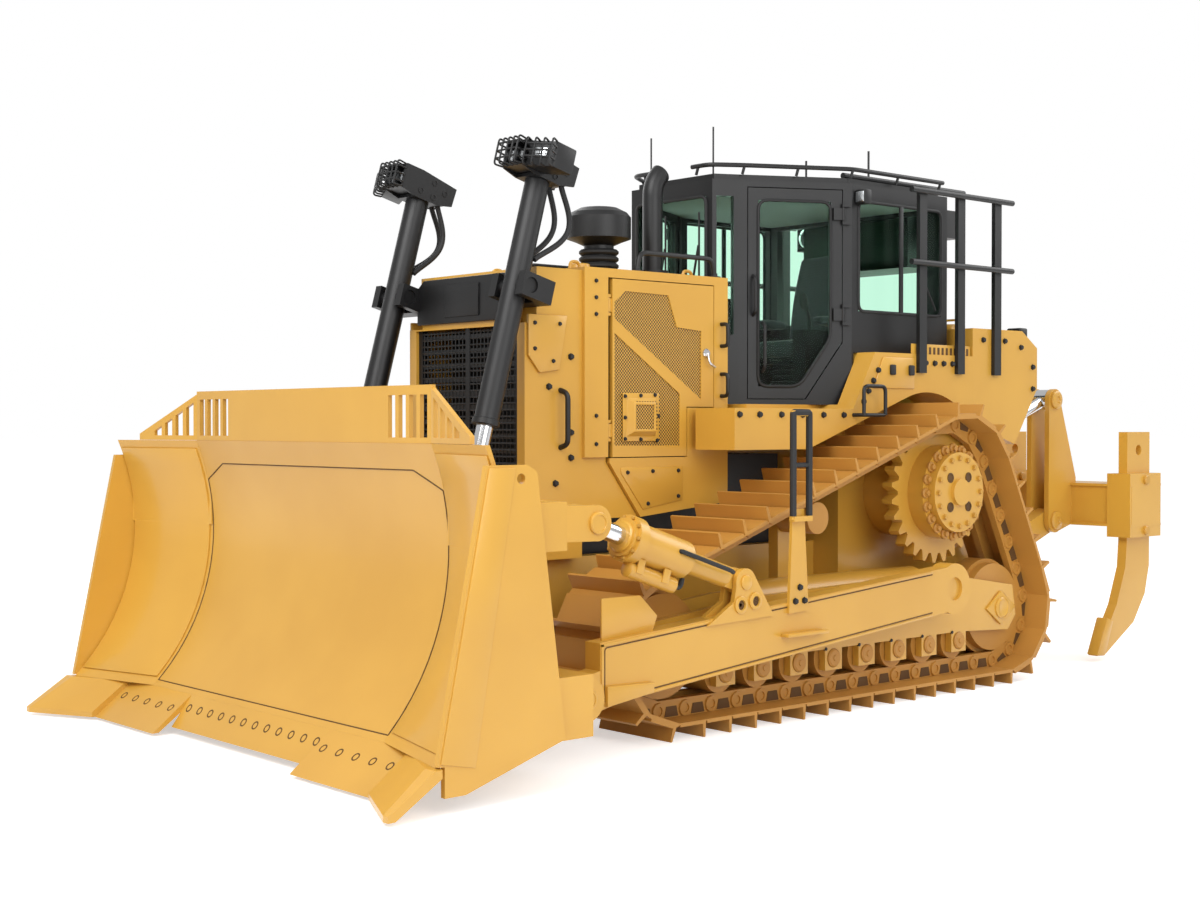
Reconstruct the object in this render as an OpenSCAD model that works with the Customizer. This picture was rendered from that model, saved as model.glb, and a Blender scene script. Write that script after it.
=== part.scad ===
// Large crawler bulldozer: high-drive tracks, semi-universal blade on push arms,
// tapered cab, multi-shank ripper. Millimetres, +X forward, +Y left, +Z up.

/* [Tracks] */
// Distance between the centre lines of the two tracks
gauge = 2082; // [1960:2:2300]
// Width of a track shoe
shoe_w = 610; // [510:10:660]
// Length of track on the ground, between the idler axles
ground_len = 3207; // [3100:1:3400]
// Nominal spacing of the track pins
pitch = 216; // [190:1:250]
// Height of the grouser bar above its shoe plate
grouser_h = 78; // [50:1:90]
// Thickness of a shoe plate
shoe_t = 16; // [12:1:24]
// Radius of the pin line round the idlers
idler_pin_r = 375; // [340:1:390]
// Radius of the pin line round the sprocket
sprocket_pin_r = 464; // [430:1:490]
// Sprocket axle behind the middle of the ground length
sprocket_back = 1084; // [1000:1:1150]
// Height of the sprocket axle above the ground
sprocket_z = 1340; // [1290:1:1400]

/* [Blade] */
// Width of the blade over its end plates
blade_w = 3900; // [3600:10:4200]
// Width of the straight middle of the blade
blade_mid_w = 2460; // [2200:10:2700]
// Height of the moldboard above its lower edge
blade_h = 1480; // [1300:10:1560]
// Clearance of the cutting edge over the ground as parked
blade_clear = 20; // [10:1:60]
// Thickness of the moldboard plate
moldboard_t = 25; // [16:1:40]
// Height of the spill guard above the moldboard
spill_h = 300; // [200:5:360]
// Depth of a push arm from top to bottom
arm_h = 340; // [280:5:380]
// Thickness of a push arm from side to side
arm_t = 120; // [100:2:130]

/* [Cylinders] */
// Bore radius of the blade lift cylinders
lift_bore_r = 50; // [40:1:60]
// Outer radius of the blade lift cylinders
lift_barrel_r = 72; // [66:1:84]
// Bore radius of the blade tilt cylinders
tilt_bore_r = 52; // [40:1:54]
// Outer radius of the blade tilt cylinders
tilt_barrel_r = 108; // [96:1:112]
// Bore radius of the ripper cylinders
ripper_bore_r = 45; // [36:1:52]
// Outer radius of the ripper cylinders
ripper_barrel_r = 75; // [66:1:84]
// Running gap between a rod and its barrel
rod_gap = 1; // [0.5:0.1:3]

/* [Cab and hood] */
// Width of the cab at its rear posts
cab_w = 1700; // [1500:10:1760]
// Width of the cab at its windscreen
cab_front_w = 780; // [640:10:860]
// Height of the roof above the ground
roof_z = 3450; // [3350:5:3600]
// Thickness of the cab walls, posts and doors
wall_t = 60; // [45:1:80]
// Thickness of the window glass
glass_t = 8; // [5:1:12]
// Width of the hood
hood_w = 1200; // [1100:10:1260]
// Height of the hood above the ground
hood_z = 2740; // [2650:5:2800]
// Thickness of the hood and guard plate
plate_t = 30; // [16:1:40]
// Gap round the doors
door_gap = 6; // [5:1:12]

/* [Ripper] */
// Width of the ripper beam
ripper_w = 2464; // [2200:4:2600]
// Side of the square ripper beam section
beam_d = 400; // [340:5:420]
// Thickness of a ripper shank
shank_t = 75; // [60:1:90]
// Depth of a ripper shank from front to back
shank_d = 320; // [280:5:340]

/* [Hidden] */
$fn = 48;

// Clearance between faces that lie on each other on different solids
seat = 0.3;
// Clearance between moving pieces
run = 6;

// Track path: pin line heights and the offsets of what lies on it
pin_tip = 51 + shoe_t + grouser_h;  // pin line to the grouser tips
shoe_in = 51;                       // pin line to the inner face of a shoe plate
rail_in = 58;                       // pin line to the rolling face of the link rails
rail_y = [72, 122];                 // inner and outer face of a link rail from the track's middle
idler_x = ground_len / 2;
idler_z = pin_tip + idler_pin_r;
track_y = gauge / 2;
track_in = track_y - shoe_w / 2;    // inner edge of the shoes
track_out = track_y + shoe_w / 2;   // outer edge of the shoes
body_in = track_in - 36;            // side faces of the main case between the tracks
front_c = [idler_x, idler_z];
rear_c = [-idler_x, idler_z];
drive_c = [-sprocket_back, sprocket_z];

function dir(a) = [cos(a), sin(a)];
function ang(v) = atan2(v[1], v[0]);
// Outward normal of the tangent that leaves circle a for circle b, counter-clockwise
function tangent_normal(a, ra, b, rb) = ang(b - a) - acos((ra - rb) / norm(b - a));
n_top = tangent_normal(front_c, idler_pin_r, drive_c, sprocket_pin_r);
n_back = tangent_normal(drive_c, sprocket_pin_r, rear_c, idler_pin_r) + 360;
len_front = idler_pin_r * (n_top + 90) * PI / 180;
len_top = norm(drive_c + sprocket_pin_r * dir(n_top) - front_c - idler_pin_r * dir(n_top));
len_drive = sprocket_pin_r * (n_back - n_top) * PI / 180;
len_back = norm(rear_c + idler_pin_r * dir(n_back) - drive_c - sprocket_pin_r * dir(n_back));
len_rear = idler_pin_r * (270 - n_back) * PI / 180;
path_len = ground_len + len_front + len_top + len_drive + len_back + len_rear;
shoes = round(path_len / pitch);
step = path_len / shoes;

// Point and outward normal of the pin line at distance s from the rear idler's lowest point
function on_arc(c, r, a) = [c + r * dir(a), a];
function at(s) =
    s < ground_len ? [[-idler_x + s, pin_tip], -90] :
    let (s1 = s - ground_len) s1 < len_front ?
        on_arc(front_c, idler_pin_r, -90 + s1 / idler_pin_r * 180 / PI) :
    let (s2 = s1 - len_front) s2 < len_top ?
        [front_c + idler_pin_r * dir(n_top) + s2 * dir(n_top + 90), n_top] :
    let (s3 = s2 - len_top) s3 < len_drive ?
        on_arc(drive_c, sprocket_pin_r, n_top + s3 / sprocket_pin_r * 180 / PI) :
    let (s4 = s3 - len_drive) s4 < len_back ?
        [drive_c + sprocket_pin_r * dir(n_back) + s4 * dir(n_back + 90), n_back] :
    let (s5 = s4 - len_back) on_arc(rear_c, idler_pin_r, n_back + s5 / idler_pin_r * 180 / PI);

// Push arm trunnions, blade pins and cylinder pins in the X-Z plane
arm_y = 1470;                       // middle of a push arm
tilt_y = 1487;                      // middle of a tilt cylinder
trunnion = [-690, 730];
low_pin = [2520, 360];
tilt_pin = [2457, 1281];            // rod end of the tilt cylinder, on the blade
tilt_clevis = [1294, 896];          // barrel end of the tilt cylinder, on the push arm
lift_y = 600;
lift_trunnion = [2222, 2590];
lift_eye = [2720, 750];             // rod end of the lift cylinder, on the blade
lift_dir = ang(lift_eye - lift_trunnion);
lift_len = norm(lift_eye - lift_trunnion);
tilt_dir = ang(tilt_pin - tilt_clevis);
tilt_len = norm(tilt_pin - tilt_clevis);
trunnion_r = 75;
eye_r = 80;
eye_half = 55;                      // half the width of a rod or link eye
ear_r = 95;
ear_t = 40;
pin_r = 45;
// Inner corners of the two ears that stand either side of an eye at y
function ear_ys(y) = [y - eye_half - run - ear_t, y + eye_half + run];

// Ripper parallelogram
rip_low = [-2100, 700];             // lower link pivot on the main frame
rip_arm = [-990, 350];              // from either pivot to its pin on the tower
rip_tower_h = [5, 940];             // from the lower tower pin to the upper one
rip_low_pin = rip_low + rip_arm;
rip_top_pin = rip_low_pin + rip_tower_h;
rip_top = rip_top_pin - rip_arm;    // upper link pivot on the main frame
tower_y = 600;                      // middle of a ripper tower
rip_lift_y = 330;
rip_lift_top = [-2090, 1760];       // lift cylinder pivot on the main frame
rip_lift_eye = rip_low + [-700, 100];
rip_lift_dir = ang(rip_lift_eye - rip_lift_top);
rip_lift_len = norm(rip_lift_eye - rip_lift_top);
beam_x = rip_low_pin[0] - 220 - beam_d / 2;
beam_z = [1030, 1320];
shank_y = ripper_w / 2 - 102;

// Cab plan, counter-clockwise from the right rear corner
cab_x = [-1500, -460, 240, 400];    // rear wall, door rear, door front, windscreen
cab_half = cab_w / 2;
door_front_y = 470;
cab_plan = [[cab_x[0], -cab_half], [cab_x[1], -cab_half], [cab_x[2], -door_front_y],
    [cab_x[3], -cab_front_w / 2], [cab_x[3], cab_front_w / 2], [cab_x[2], door_front_y],
    [cab_x[1], cab_half], [cab_x[0], cab_half]];
cab_z = 1930;                       // top of the door sill
cab_rear_z = 2280;                  // cab floor line behind the doors
body_half = 1000;                   // fender side faces
sill_z = 1900;
fender_front = 820;

// Ends of the machine, and the shift that puts the origin midway between them
x_front = 4040;
x_rear = beam_x - beam_d / 2 - 20;
mid_x = (x_front + x_rear) / 2;

yellow = [0.90, 0.66, 0.28];
black = [0.13, 0.13, 0.13];
steel = [0.75, 0.76, 0.78];

// Helpers: extrude an X-Z outline from y0 to y1, a Y-Z outline from x0 to x1
module xz(y0, y1) translate([0, y1, 0]) rotate([90, 0, 0]) linear_extrude(y1 - y0) children();
module yz(x0, x1) translate([x0, 0, 0]) rotate([90, 0, 90]) linear_extrude(x1 - x0) children();
module box(x, y, z) translate([x[0], y[0], z[0]]) cube([x[1] - x[0], y[1] - y[0], z[1] - z[0]]);
// Round bar across the machine, at c in the X-Z plane
module ycyl(r, y0, y1, c) translate([c[0], y1, c[1]]) rotate([90, 0, 0]) cylinder(r = r, h = y1 - y0);
// Left and right copies
module both() { children(); mirror([0, 1, 0]) children(); }
// Local X along angle a in the X-Z plane, origin at c
module along(c, a, y = 0) translate([c[0], y, c[1]]) rotate([0, -a, 0]) children();
// Round bar along local X from s0 to s1
module xcyl(r, s0, s1) translate([s0, 0, 0]) rotate([0, 90, 0]) cylinder(r = r, h = s1 - s0);
// Plate between two round ends, in the X-Z plane; its straight sides run 1 mm inside the tangents
module link_outline(a, ra, b, rb) {
    n = tangent_normal(a, ra, b, rb);
    m = 2 * ang(b - a) - n;
    translate(a) circle(ra);
    translate(b) circle(rb);
    polygon([a + (ra - 1) * dir(n), a + (ra - 1) * dir(m), b + (rb - 1) * dir(m), b + (rb - 1) * dir(n)]);
}
// All nodes are drawn with the origin midway between the machine's ends
module place() translate([-mid_x, 0, 0]) children();

// One track: a belt of shoes with grouser bars, its outline notched between shoes, on two link rails
notch = 5;                          // half the gap between two shoes
function shoe_points(k) = let (p = at((k + 0.5) * step), half = step / 2 - notch,
        t = dir(p[1] + 90), n = dir(p[1]))
    [for (q = [[-step / 2, shoe_in + 2], [-half, shoe_in + 2], [-half, shoe_in + shoe_t], [-half + 4, pin_tip],
        [-half + 20, pin_tip], [-half + 24, shoe_in + shoe_t], [half, shoe_in + shoe_t], [half, shoe_in + 2]])
        p[0] + q[0] * t + q[1] * n];
function ring(off) = [for (k = [0 : shoes - 1]) let (p = at(k * step)) p[0] + off * dir(p[1])];
module loop(outer, inner) difference() {
    polygon(outer);
    polygon(inner);
}
module track() {
    xz(track_in, track_out)
        loop([for (k = [0 : shoes - 1]) each shoe_points(k)], ring(shoe_in - 6));
    for (y = [track_y - rail_y[1], track_y + rail_y[0]])
        xz(y, y + rail_y[1] - rail_y[0]) loop(ring(shoe_in), ring(-rail_in));
}
module track_left() color(yellow) place() track();
module track_right() color(yellow) place() mirror([0, 1, 0]) track();

// Idler wheels with a guide flange, on stub axles
idler_r = (idler_pin_r - rail_in) * cos(step / idler_pin_r * 90 / PI) - seat;
module idler(c) {
    ycyl(idler_r, track_y - 130, track_y + 130, c);
    ycyl(idler_r + 30, track_y - rail_y[0] + run, track_y + rail_y[0] - run, c);
    ycyl(110, track_y - 190, track_y + 190, c);
}
module idlers() color(yellow) place() both() for (c = [front_c, rear_c]) idler(c);

// Track rollers under the frame and the carrier roller above it
roller_r = 125;
roller_z = pin_tip + rail_in + seat + roller_r;
roller_n = 8;
roller_x = [for (k = [0 : roller_n - 1])
    -idler_x + 470 + k * (ground_len - 940) / (roller_n - 1)];
carrier_r = 100;
carrier_x = 250;
carrier_c = [carrier_x, front_c[1] + idler_pin_r * sin(n_top)
    + (front_c[0] + idler_pin_r * cos(n_top) - carrier_x) / tan(n_top)
    - (rail_in + carrier_r + seat) / sin(n_top)];
module rollers() color(yellow) place() both() {
    for (x = roller_x) {
        ycyl(roller_r, track_y - 135, track_y + 135, [x, roller_z]);
        ycyl(60, track_y - 185, track_y + 185, [x, roller_z]);
    }
    ycyl(carrier_r, track_y - 135, track_y + 135, carrier_c);
    ycyl(50, track_y - 215, track_y + 60, carrier_c);
}

// Roller frame: side cheeks that hold rollers and idlers, recoil tube, trunnion for the push arm
frame_y = [track_y - 190, track_y + 190];
frame_t = 50;
module cheek(y0, y1) xz(y0, y1) difference() {
    union() {
        polygon([[-idler_x - 190, idler_z - 60], [-idler_x - 150, idler_z + 150],
            [-900, 800], [900, 760], [idler_x + 150, idler_z + 150],
            [idler_x + 190, idler_z - 60], [idler_x + 100, idler_z - 160], [1150, roller_z + 60],
            [-1150, roller_z + 60], [-idler_x - 100, idler_z - 160]]);
        for (x = roller_x) translate([x - 80, roller_z - 75]) square([160, 150]);
    }
    for (c = [front_c, rear_c]) translate(c) circle(110 + seat);
    for (x = roller_x) translate([x, roller_z]) circle(60 + seat);
}
module roller_frame() {
    cheek(frame_y[0], frame_y[0] + frame_t);
    cheek(frame_y[1] - frame_t, frame_y[1]);
    box([-850, 850], frame_y, [roller_z + roller_r + 40, 700]);
    along([-850, 690], 0, track_y) xcyl(150, 0, 1700);
    ycyl(trunnion_r, frame_y[1] - 1, arm_y + arm_t / 2 - 20, trunnion);
    // Carrier roller stand
    difference() {
        box([carrier_c[0] - 70, carrier_c[0] + 70], [frame_y[0] - 30, frame_y[0] + frame_t],
            [650, carrier_c[1] + 70]);
        ycyl(50 + seat, frame_y[0] - 40, frame_y[0] + frame_t + 10, carrier_c);
    }
}
module roller_frame_left() color(yellow) place() roller_frame();
module roller_frame_right() color(yellow) place() mirror([0, 1, 0]) roller_frame();

// Sprocket ring with hunting teeth, on its final drive drum
teeth = 27;
tooth_out = 24;
tooth_in = 40;
hub_r = 320;
hub_y = track_out - 76;
module sprocket() {
    xz(track_y - 42, track_y + 42) translate(drive_c) polygon([for (k = [0 : teeth - 1], j = [0 : 3])
        let (a = (k + [0.12, 0.38, 0.62, 0.88][j]) * 360 / teeth,
            r = sprocket_pin_r + (j == 1 || j == 2 ? tooth_out : -tooth_in)) r * dir(a)]);
    ycyl(hub_r, body_in, hub_y - 60, drive_c);
    ycyl(hub_r - 50, hub_y - 61, hub_y, drive_c);
    ycyl(90, hub_y - 1, hub_y + 25, drive_c);
}
module sprocket_left() color(yellow) place() sprocket();
module sprocket_right() color(yellow) place() mirror([0, 1, 0]) sprocket();

// Main frame: case between the tracks, nose under the radiator, cross shafts, ripper ears
case_x = [-2000, -500];
nose_half = 480;
module main_frame() color(yellow) place() {
    difference() {
        union() {
            xz(-body_in, body_in) polygon([[case_x[0], 620], [case_x[0], 1690], [-1500, 1690],
                [case_x[1], 1690], [case_x[1], 620]]);
            both() box([case_x[1] - 1, 2000], [nose_half - 120, nose_half], [640, 1000]);
            box([1500, 2000], [-nose_half, nose_half], [640, 900]);
            box([case_x[1] - 1, 1501], [-nose_half, nose_half], [640, 680]);
        }
        both() ycyl(hub_r + seat, body_in - 200, body_in + 1, drive_c);
        // Drawbar hole
        translate([-2130, 0, 0]) cylinder(r = 40, h = 2000);
    }
    // Pivot shaft and equalizer bar between the roller frames
    ycyl(100, -frame_y[0] + seat, frame_y[0] - seat, [-620, 700]);
    box([1180, 1320], [-frame_y[0] + seat, frame_y[0] - seat], [660, 760]);
    // Drawbar
    difference() {
        box([-2220, case_x[0] + 1], [-150, 150], [660, 750]);
        translate([-2130, 0, 600]) cylinder(r = 40, h = 200);
    }
    // Ears for the ripper linkage, with their pins
    both() {
        rear_clevis(rip_low, tower_y);
        rear_clevis(rip_top, tower_y);
        rear_clevis(rip_lift_top, rip_lift_y);
    }
}
// Two ears on the rear of the case, with a pin across them
module rear_clevis(c, y) {
    for (y0 = ear_ys(y)) xz(y0, y0 + ear_t) {
        translate(c) circle(ear_r);
        translate([c[0], c[1] - ear_r]) square([case_x[0] + 60 - c[0], 2 * ear_r]);
    }
    ycyl(pin_r, y - eye_half - run - ear_t, y + eye_half + run + ear_t, c);
}

// Engine as one plain block on the frame rails
module engine_block() color(black) place() {
    box([-300, 1170], [-330, 330], [680 + seat, 1600]);
    box([1169, 1480], [-330, 330], [780, 1600]);
    box([520, 1400], [-260, 260], [1599, 2480]);
}

// Radiator guard: a box frame round the core, open to the front and rear, with the grille bolted in
guard_x = [1690, 2130];
guard_half = hood_w / 2 - 25;
guard_z = [1000, hood_z - 20];
grille_z = [1350, 2380];
module radiator_guard() color(yellow) place() difference() {
    union() {
        xz(-guard_half, guard_half) polygon([[guard_x[0], guard_z[0] + seat], [guard_x[1], guard_z[0] + seat],
            [guard_x[1], 2500], [guard_x[1] - 90, guard_z[1]], [guard_x[0], guard_z[1]]]);
        // Cheeks that reach back under the engine doors
        both() xz(guard_half - plate_t, guard_half) polygon([[guard_x[0] + 1, 1230], [1240, 1230],
            [1500, 1570], [1500, 1600], [guard_x[0] + 1, 1600]]);
    }
    box([guard_x[0] - 1, guard_x[1] + 1], [-guard_half + 70, guard_half - 70], grille_z);
    // Corner pockets for the lift cylinder yokes
    both() box([pocket_x, guard_x[1] + 1], [lift_y - yoke_half - yoke_t - 10, hood_w], [yoke_shaft_z - 170, hood_z]);
}
module radiator_core() color(black) place()
    box([guard_x[0] + 60, guard_x[0] + 160], [-guard_half + 70 + seat, guard_half - 70 - seat],
        [grille_z[0] + seat, grille_z[1] - seat]);
module grille() color(black) place() {
    bars = 12;
    h = grille_z[1] - grille_z[0] - 2 * seat;
    for (y = [-guard_half + 70 + seat, -20, guard_half - 110 - seat])
        box([guard_x[1] - 60, guard_x[1] - 20], [y, y + 40], [grille_z[0] + seat, grille_z[1] - seat]);
    for (k = [0 : bars - 1])
        box([guard_x[1] - 50, guard_x[1] - 25], [-guard_half + 71, guard_half - 71],
            [grille_z[0] + 20 + k * h / bars, grille_z[0] + 50 + k * h / bars]);
}

// Hood top and rear frame, open at the sides where the engine doors close it
hood_half = hood_w / 2;
hood_x = [470, guard_x[0] - seat];
door_x = [600, 1495];
door_z = [1600, hood_z - 60];
// The door's rear foot stops short of the fender, so that it swings clear of it
door_foot = [fender_front + 20, sill_z + 10];
module hood() color(yellow) place() {
    box(hood_x, [-hood_half, hood_half], [hood_z - plate_t, hood_z]);
    both() {
        box([hood_x[0], door_x[0] - door_gap], [hood_half - plate_t, hood_half], [1700, hood_z - 1]);
        box([door_x[1] + door_gap, hood_x[1]], [hood_half - plate_t, hood_half], [1600 + seat, hood_z - 1]);
        box([door_x[0] - door_gap - 1, door_x[1] + door_gap + 1], [hood_half - plate_t, hood_half],
            [door_z[1] + door_gap, hood_z - 1]);
        // Hinge pins of the engine door, held between lugs
        for (z = engine_hinge_z) {
            translate([engine_hinge[0], engine_hinge[1], z - 20]) cylinder(r = hinge_pin_r, h = hinge_h + 40);
            for (z1 = [z - 25, z + hinge_h + 7])
                box([engine_hinge[0] - 10, door_x[1] + door_gap + 1], [engine_hinge[1] - 10, engine_hinge[1] + 10],
                    [z1, z1 + 18]);
        }
        // Lower skirt over the frame rail
        xz(hood_half - plate_t, hood_half) polygon([[hood_x[0], 1701], [hood_x[0], 1300], [1235, 1230],
            [1490, 1565], [1490, door_z[0] - door_gap], [door_foot[0] - door_gap, door_z[0] - door_gap],
            [door_foot[0] - door_gap, door_foot[1] - door_gap], [door_x[0] - door_gap - 1, door_foot[1] - door_gap],
            [door_x[0] - door_gap - 1, 1701]]);
    }
    box([hood_x[0], hood_x[0] + plate_t], [-hood_half + 1, hood_half - 1], [1700, hood_z - 1]);
}
// Engine doors, hinged at their front edges
screen_t = 8;
// Outlines of the two screens either side of the door's diagonal bar
screen_x = [door_x[0] + 110, door_x[1] - 45];
door_screens = [
    [[screen_x[1], door_z[1] - 140], [screen_x[1] - 90, door_z[1] - 70], [screen_x[0] + 290, door_z[1] - 78],
        [screen_x[0] + 214, door_z[1] - 274], [screen_x[0], door_z[1] - 290], [screen_x[0], door_z[0] + 356],
        [screen_x[1], door_z[0] + 840]],
    [[screen_x[1], door_z[0] + 752], [screen_x[1], door_z[0] + 70], [door_foot[0] + 60, door_z[0] + 66],
        [door_foot[0] + 60, door_foot[1] + 80]]
];
engine_hinge = [door_x[1] - 8, hood_half - plate_t / 2];
engine_hinge_z = [door_z[0] + 120, door_z[1] - 200];
hinge_h = 80;
hinge_pin_r = 6;
module engine_door() {
    difference() {
        xz(hood_half - plate_t, hood_half) polygon([[door_x[0], door_foot[1]], door_foot, [door_foot[0], door_z[0]],
            [door_x[1] - 28, door_z[0]], [door_x[1] - 28, door_z[1]], [door_x[0], door_z[1]]]);
        xz(hood_half - screen_t, hood_half + 1) for (screen = door_screens) polygon(screen);
    }
    for (z = engine_hinge_z) difference() {
        union() {
            translate([engine_hinge[0], engine_hinge[1], z]) cylinder(r = 12, h = hinge_h);
            box([door_x[1] - 30, engine_hinge[0]], [engine_hinge[1] - 8, engine_hinge[1] + 8], [z, z + hinge_h]);
        }
        translate([engine_hinge[0], engine_hinge[1], z - 1]) cylinder(r = hinge_pin_r + seat, h = hinge_h + 2);
    }
}
module engine_door_left() color(yellow) place() engine_door();
module engine_door_right() color(yellow) place() mirror([0, 1, 0]) engine_door();

// Exhaust stack with its swept-back top, and the air precleaner
stack_c = [710, 150];
stack_r = 66;
bend_r = 200;
bend_a = 50;
module exhaust_stack() color(black) place() translate([stack_c[0], stack_c[1], hood_z + seat]) {
    linear_extrude(60) pipe_ring(stack_r + 40);
    linear_extrude(stack_h) pipe_ring(stack_r);
    translate([-bend_r, 0, stack_h]) rotate([90, 0, 0]) rotate_extrude(angle = bend_a)
        translate([bend_r, 0]) pipe_ring(stack_r);
}
module pipe_ring(r) difference() {
    circle(r);
    circle(stack_r - 8);
}
stack_h = roof_z - hood_z - 160;
cleaner_c = [1180, 150];
module precleaner() color(black) place() translate([cleaner_c[0], cleaner_c[1], hood_z + seat]) rotate_extrude()
    polygon([[0, 0], [130, 0], [130, 40], [95, 60], [95, 190], [150, 215], [205, 235], [205, 370],
        [180, 400], [120, 430], [0, 436]]);

// Convex outline, counter-clockwise, moved inwards by d
function unit(v) = v / norm(v);
function left_of(v) = [-v[1], v[0]];
function inset(pts, d) = let (n = len(pts)) [for (i = [0 : n - 1])
    let (p = left_of(unit(pts[i] - pts[(i + n - 1) % n])), q = left_of(unit(pts[(i + 1) % n] - pts[i])))
        pts[i] + d * (p + q) / (1 + p * q)];

// Cab walls are numbered from the right rear side, counter-clockwise
wall_n = len(cab_plan);
function wall_len(k) = norm(cab_plan[(k + 1) % wall_n] - cab_plan[k]);
// Outline (along the wall, height) cut or built from depth t0 to t1 inside wall k's outer face
module on_wall(k, t0, t1) {
    a = cab_plan[k];
    translate([a[0], a[1], 0]) rotate([0, 0, ang(cab_plan[(k + 1) % wall_n] - a)])
        translate([0, t1, 0]) rotate([90, 0, 0]) linear_extrude(t1 - t0) children();
}
post = 70;                          // width of a cab post
window_top = roof_z - 150;
rear_sill = 2560;
door_len = wall_len(5);
// Door outline on the left door wall, s from the door's front edge to its rear edge
module door_outline(d) polygon([[post + d, cab_z + 40 + d], [door_len - 330 - d, cab_z + 40 + d],
    [door_len - post - d, cab_z + 420 + d], [door_len - post - d, window_top + 60 - d],
    [post + d, window_top + 60 - d]]);
module door_pane(d) polygon([[post + 70 + d, cab_z + 120 + d], [door_len - 370 - d, cab_z + 120 + d],
    [door_len - post - 80 - d, cab_z + 440 + d], [door_len - post - 80 - d, window_top - 20 - d],
    [post + 70 + d, window_top - 20 - d]]);
module all_panes(t0, t1, grow) {
    for (k = [0, 6]) on_wall(k, t0, t1) offset_box(post, rear_sill, wall_len(k) - post, window_top, grow);
    for (k = [2, 4]) on_wall(k, t0, t1) offset_box(30, cab_z + 460, wall_len(k) - 30, window_top, grow);
    on_wall(3, t0, t1) offset_box(55, hood_z - 250, wall_len(3) - 55, window_top, grow);
    on_wall(7, t0, t1) offset_box(post + 60, rear_sill, wall_len(7) - post - 60, window_top, grow);
}
module offset_box(x0, z0, x1, z1, g) translate([x0 - g, z0 - g]) square([x1 - x0 + 2 * g, z1 - z0 + 2 * g]);

module cab_frame() color(black) place() {
    both() cab_hinge_pins();
    cab_shell();
}
module cab_shell() difference() {
    union() {
        difference() {
            translate([0, 0, cab_z + seat]) linear_extrude(roof_z - cab_z - seat - 40) polygon(cab_plan);
            translate([0, 0, cab_z - 1]) linear_extrude(roof_z - cab_z - 120) polygon(inset(cab_plan, wall_t));
        }
        translate([0, 0, roof_z - 50]) linear_extrude(50) polygon(inset(cab_plan, 45));
    }
    all_panes(-1, wall_t + 1, 0);
    for (k = [1, 5]) on_wall(k, -1, wall_t + 1) door_cut(k);
    // Lower rear of the cab sits on the fender boxes
    box([cab_x[0] - 1, cab_x[1] - 20], [-cab_half - 1, cab_half + 1], [cab_z - 10, cab_rear_z + seat]);
}
module door_cut(k) if (k == 5) door_outline(-door_gap);
    else translate([wall_len(1), 0]) mirror([1, 0]) door_outline(-door_gap);
module cab_glass() color([0.7, 0.95, 0.85, 0.4]) place() all_panes(20, 20 + glass_t, -seat);

// Doors: a framed panel with a pane, hinged at the rear edge
module door_left_body() {
    on_wall(5, 0, wall_t - 15) difference() {
        door_outline(0);
        door_pane(0);
    }
    at_door_hinge() for (z = cab_hinge_z) difference() {
        union() {
            translate([0, 0, z]) cylinder(r = 14, h = hinge_h);
            translate([-70, -6, z]) cube([70, hinge_out + 7, hinge_h]);
        }
        translate([0, 0, z - 1]) cylinder(r = 8 + seat, h = hinge_h + 2);
        translate([-19, 14, z - 1]) cube([40, 20, hinge_h + 2]);
    }
}
// Door hinge axis, just outside the cab wall at the door's rear edge; local X runs rearwards, local Y inwards
hinge_out = 18;
cab_hinge_z = [cab_z + 560, window_top - 140];
module at_door_hinge() translate([cab_plan[5][0], cab_plan[5][1], 0])
    rotate([0, 0, ang(cab_plan[6] - cab_plan[5])]) translate([door_len - post + door_gap / 2, -hinge_out, 0]) children();
module cab_hinge_pins() at_door_hinge() for (z = cab_hinge_z) {
    translate([0, 0, z - 25]) cylinder(r = 8, h = hinge_h + 50);
    for (z1 = [z - 30, z + hinge_h + 8]) translate([0, 0, z1]) linear_extrude(22) {
        circle(12);
        polygon([[0, -11], [48, -11], [48, hinge_out + 1], [14, hinge_out + 1], [0, 10]]);
    }
}
module cab_door_left() color(black) place() door_left_body();
module cab_door_right() color(black) place() mirror([0, 1, 0]) door_left_body();
module door_glass_left() color([0.7, 0.95, 0.85, 0.4]) place() on_wall(5, 18, 18 + glass_t) door_pane(seat);
module door_glass_right() color([0.7, 0.95, 0.85, 0.4]) place()
    mirror([0, 1, 0]) on_wall(5, 18, 18 + glass_t) door_pane(seat);

// Platform: floor, door sills, fenders with the track arch
arch_r = sprocket_pin_r + pin_tip + 70;
module fender_outline() difference() {
    polygon([[fender_front, sill_z], [-300, sill_z], [-520, cab_rear_z], [-1600, cab_rear_z],
        [-1600, 1640], [fender_front, 1640]]);
    translate(drive_c) circle(arch_r);
    // Above the top run of the track
    translate(drive_c) rotate(n_top) translate([-2000, -3200]) square([2000 + arch_r, 3200]);
    translate(drive_c) rotate(n_back) translate([-2000, 0]) square([2000 + arch_r, 1500]);
}
module platform() color(yellow) place() {
    difference() {
        both() xz(body_in - 40, body_half) fender_outline();
        box([cab_x[1] - 20 - seat, 500], [-cab_half - seat, cab_half + seat], [cab_z, cab_rear_z + 100]);
    }
    box([-1600, hood_x[0] - seat], [-body_in, body_in], [1691, 1760]);
    box([-1600, 400], [-body_in, body_in], [1759, sill_z + 30 - seat]);
}
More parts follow.
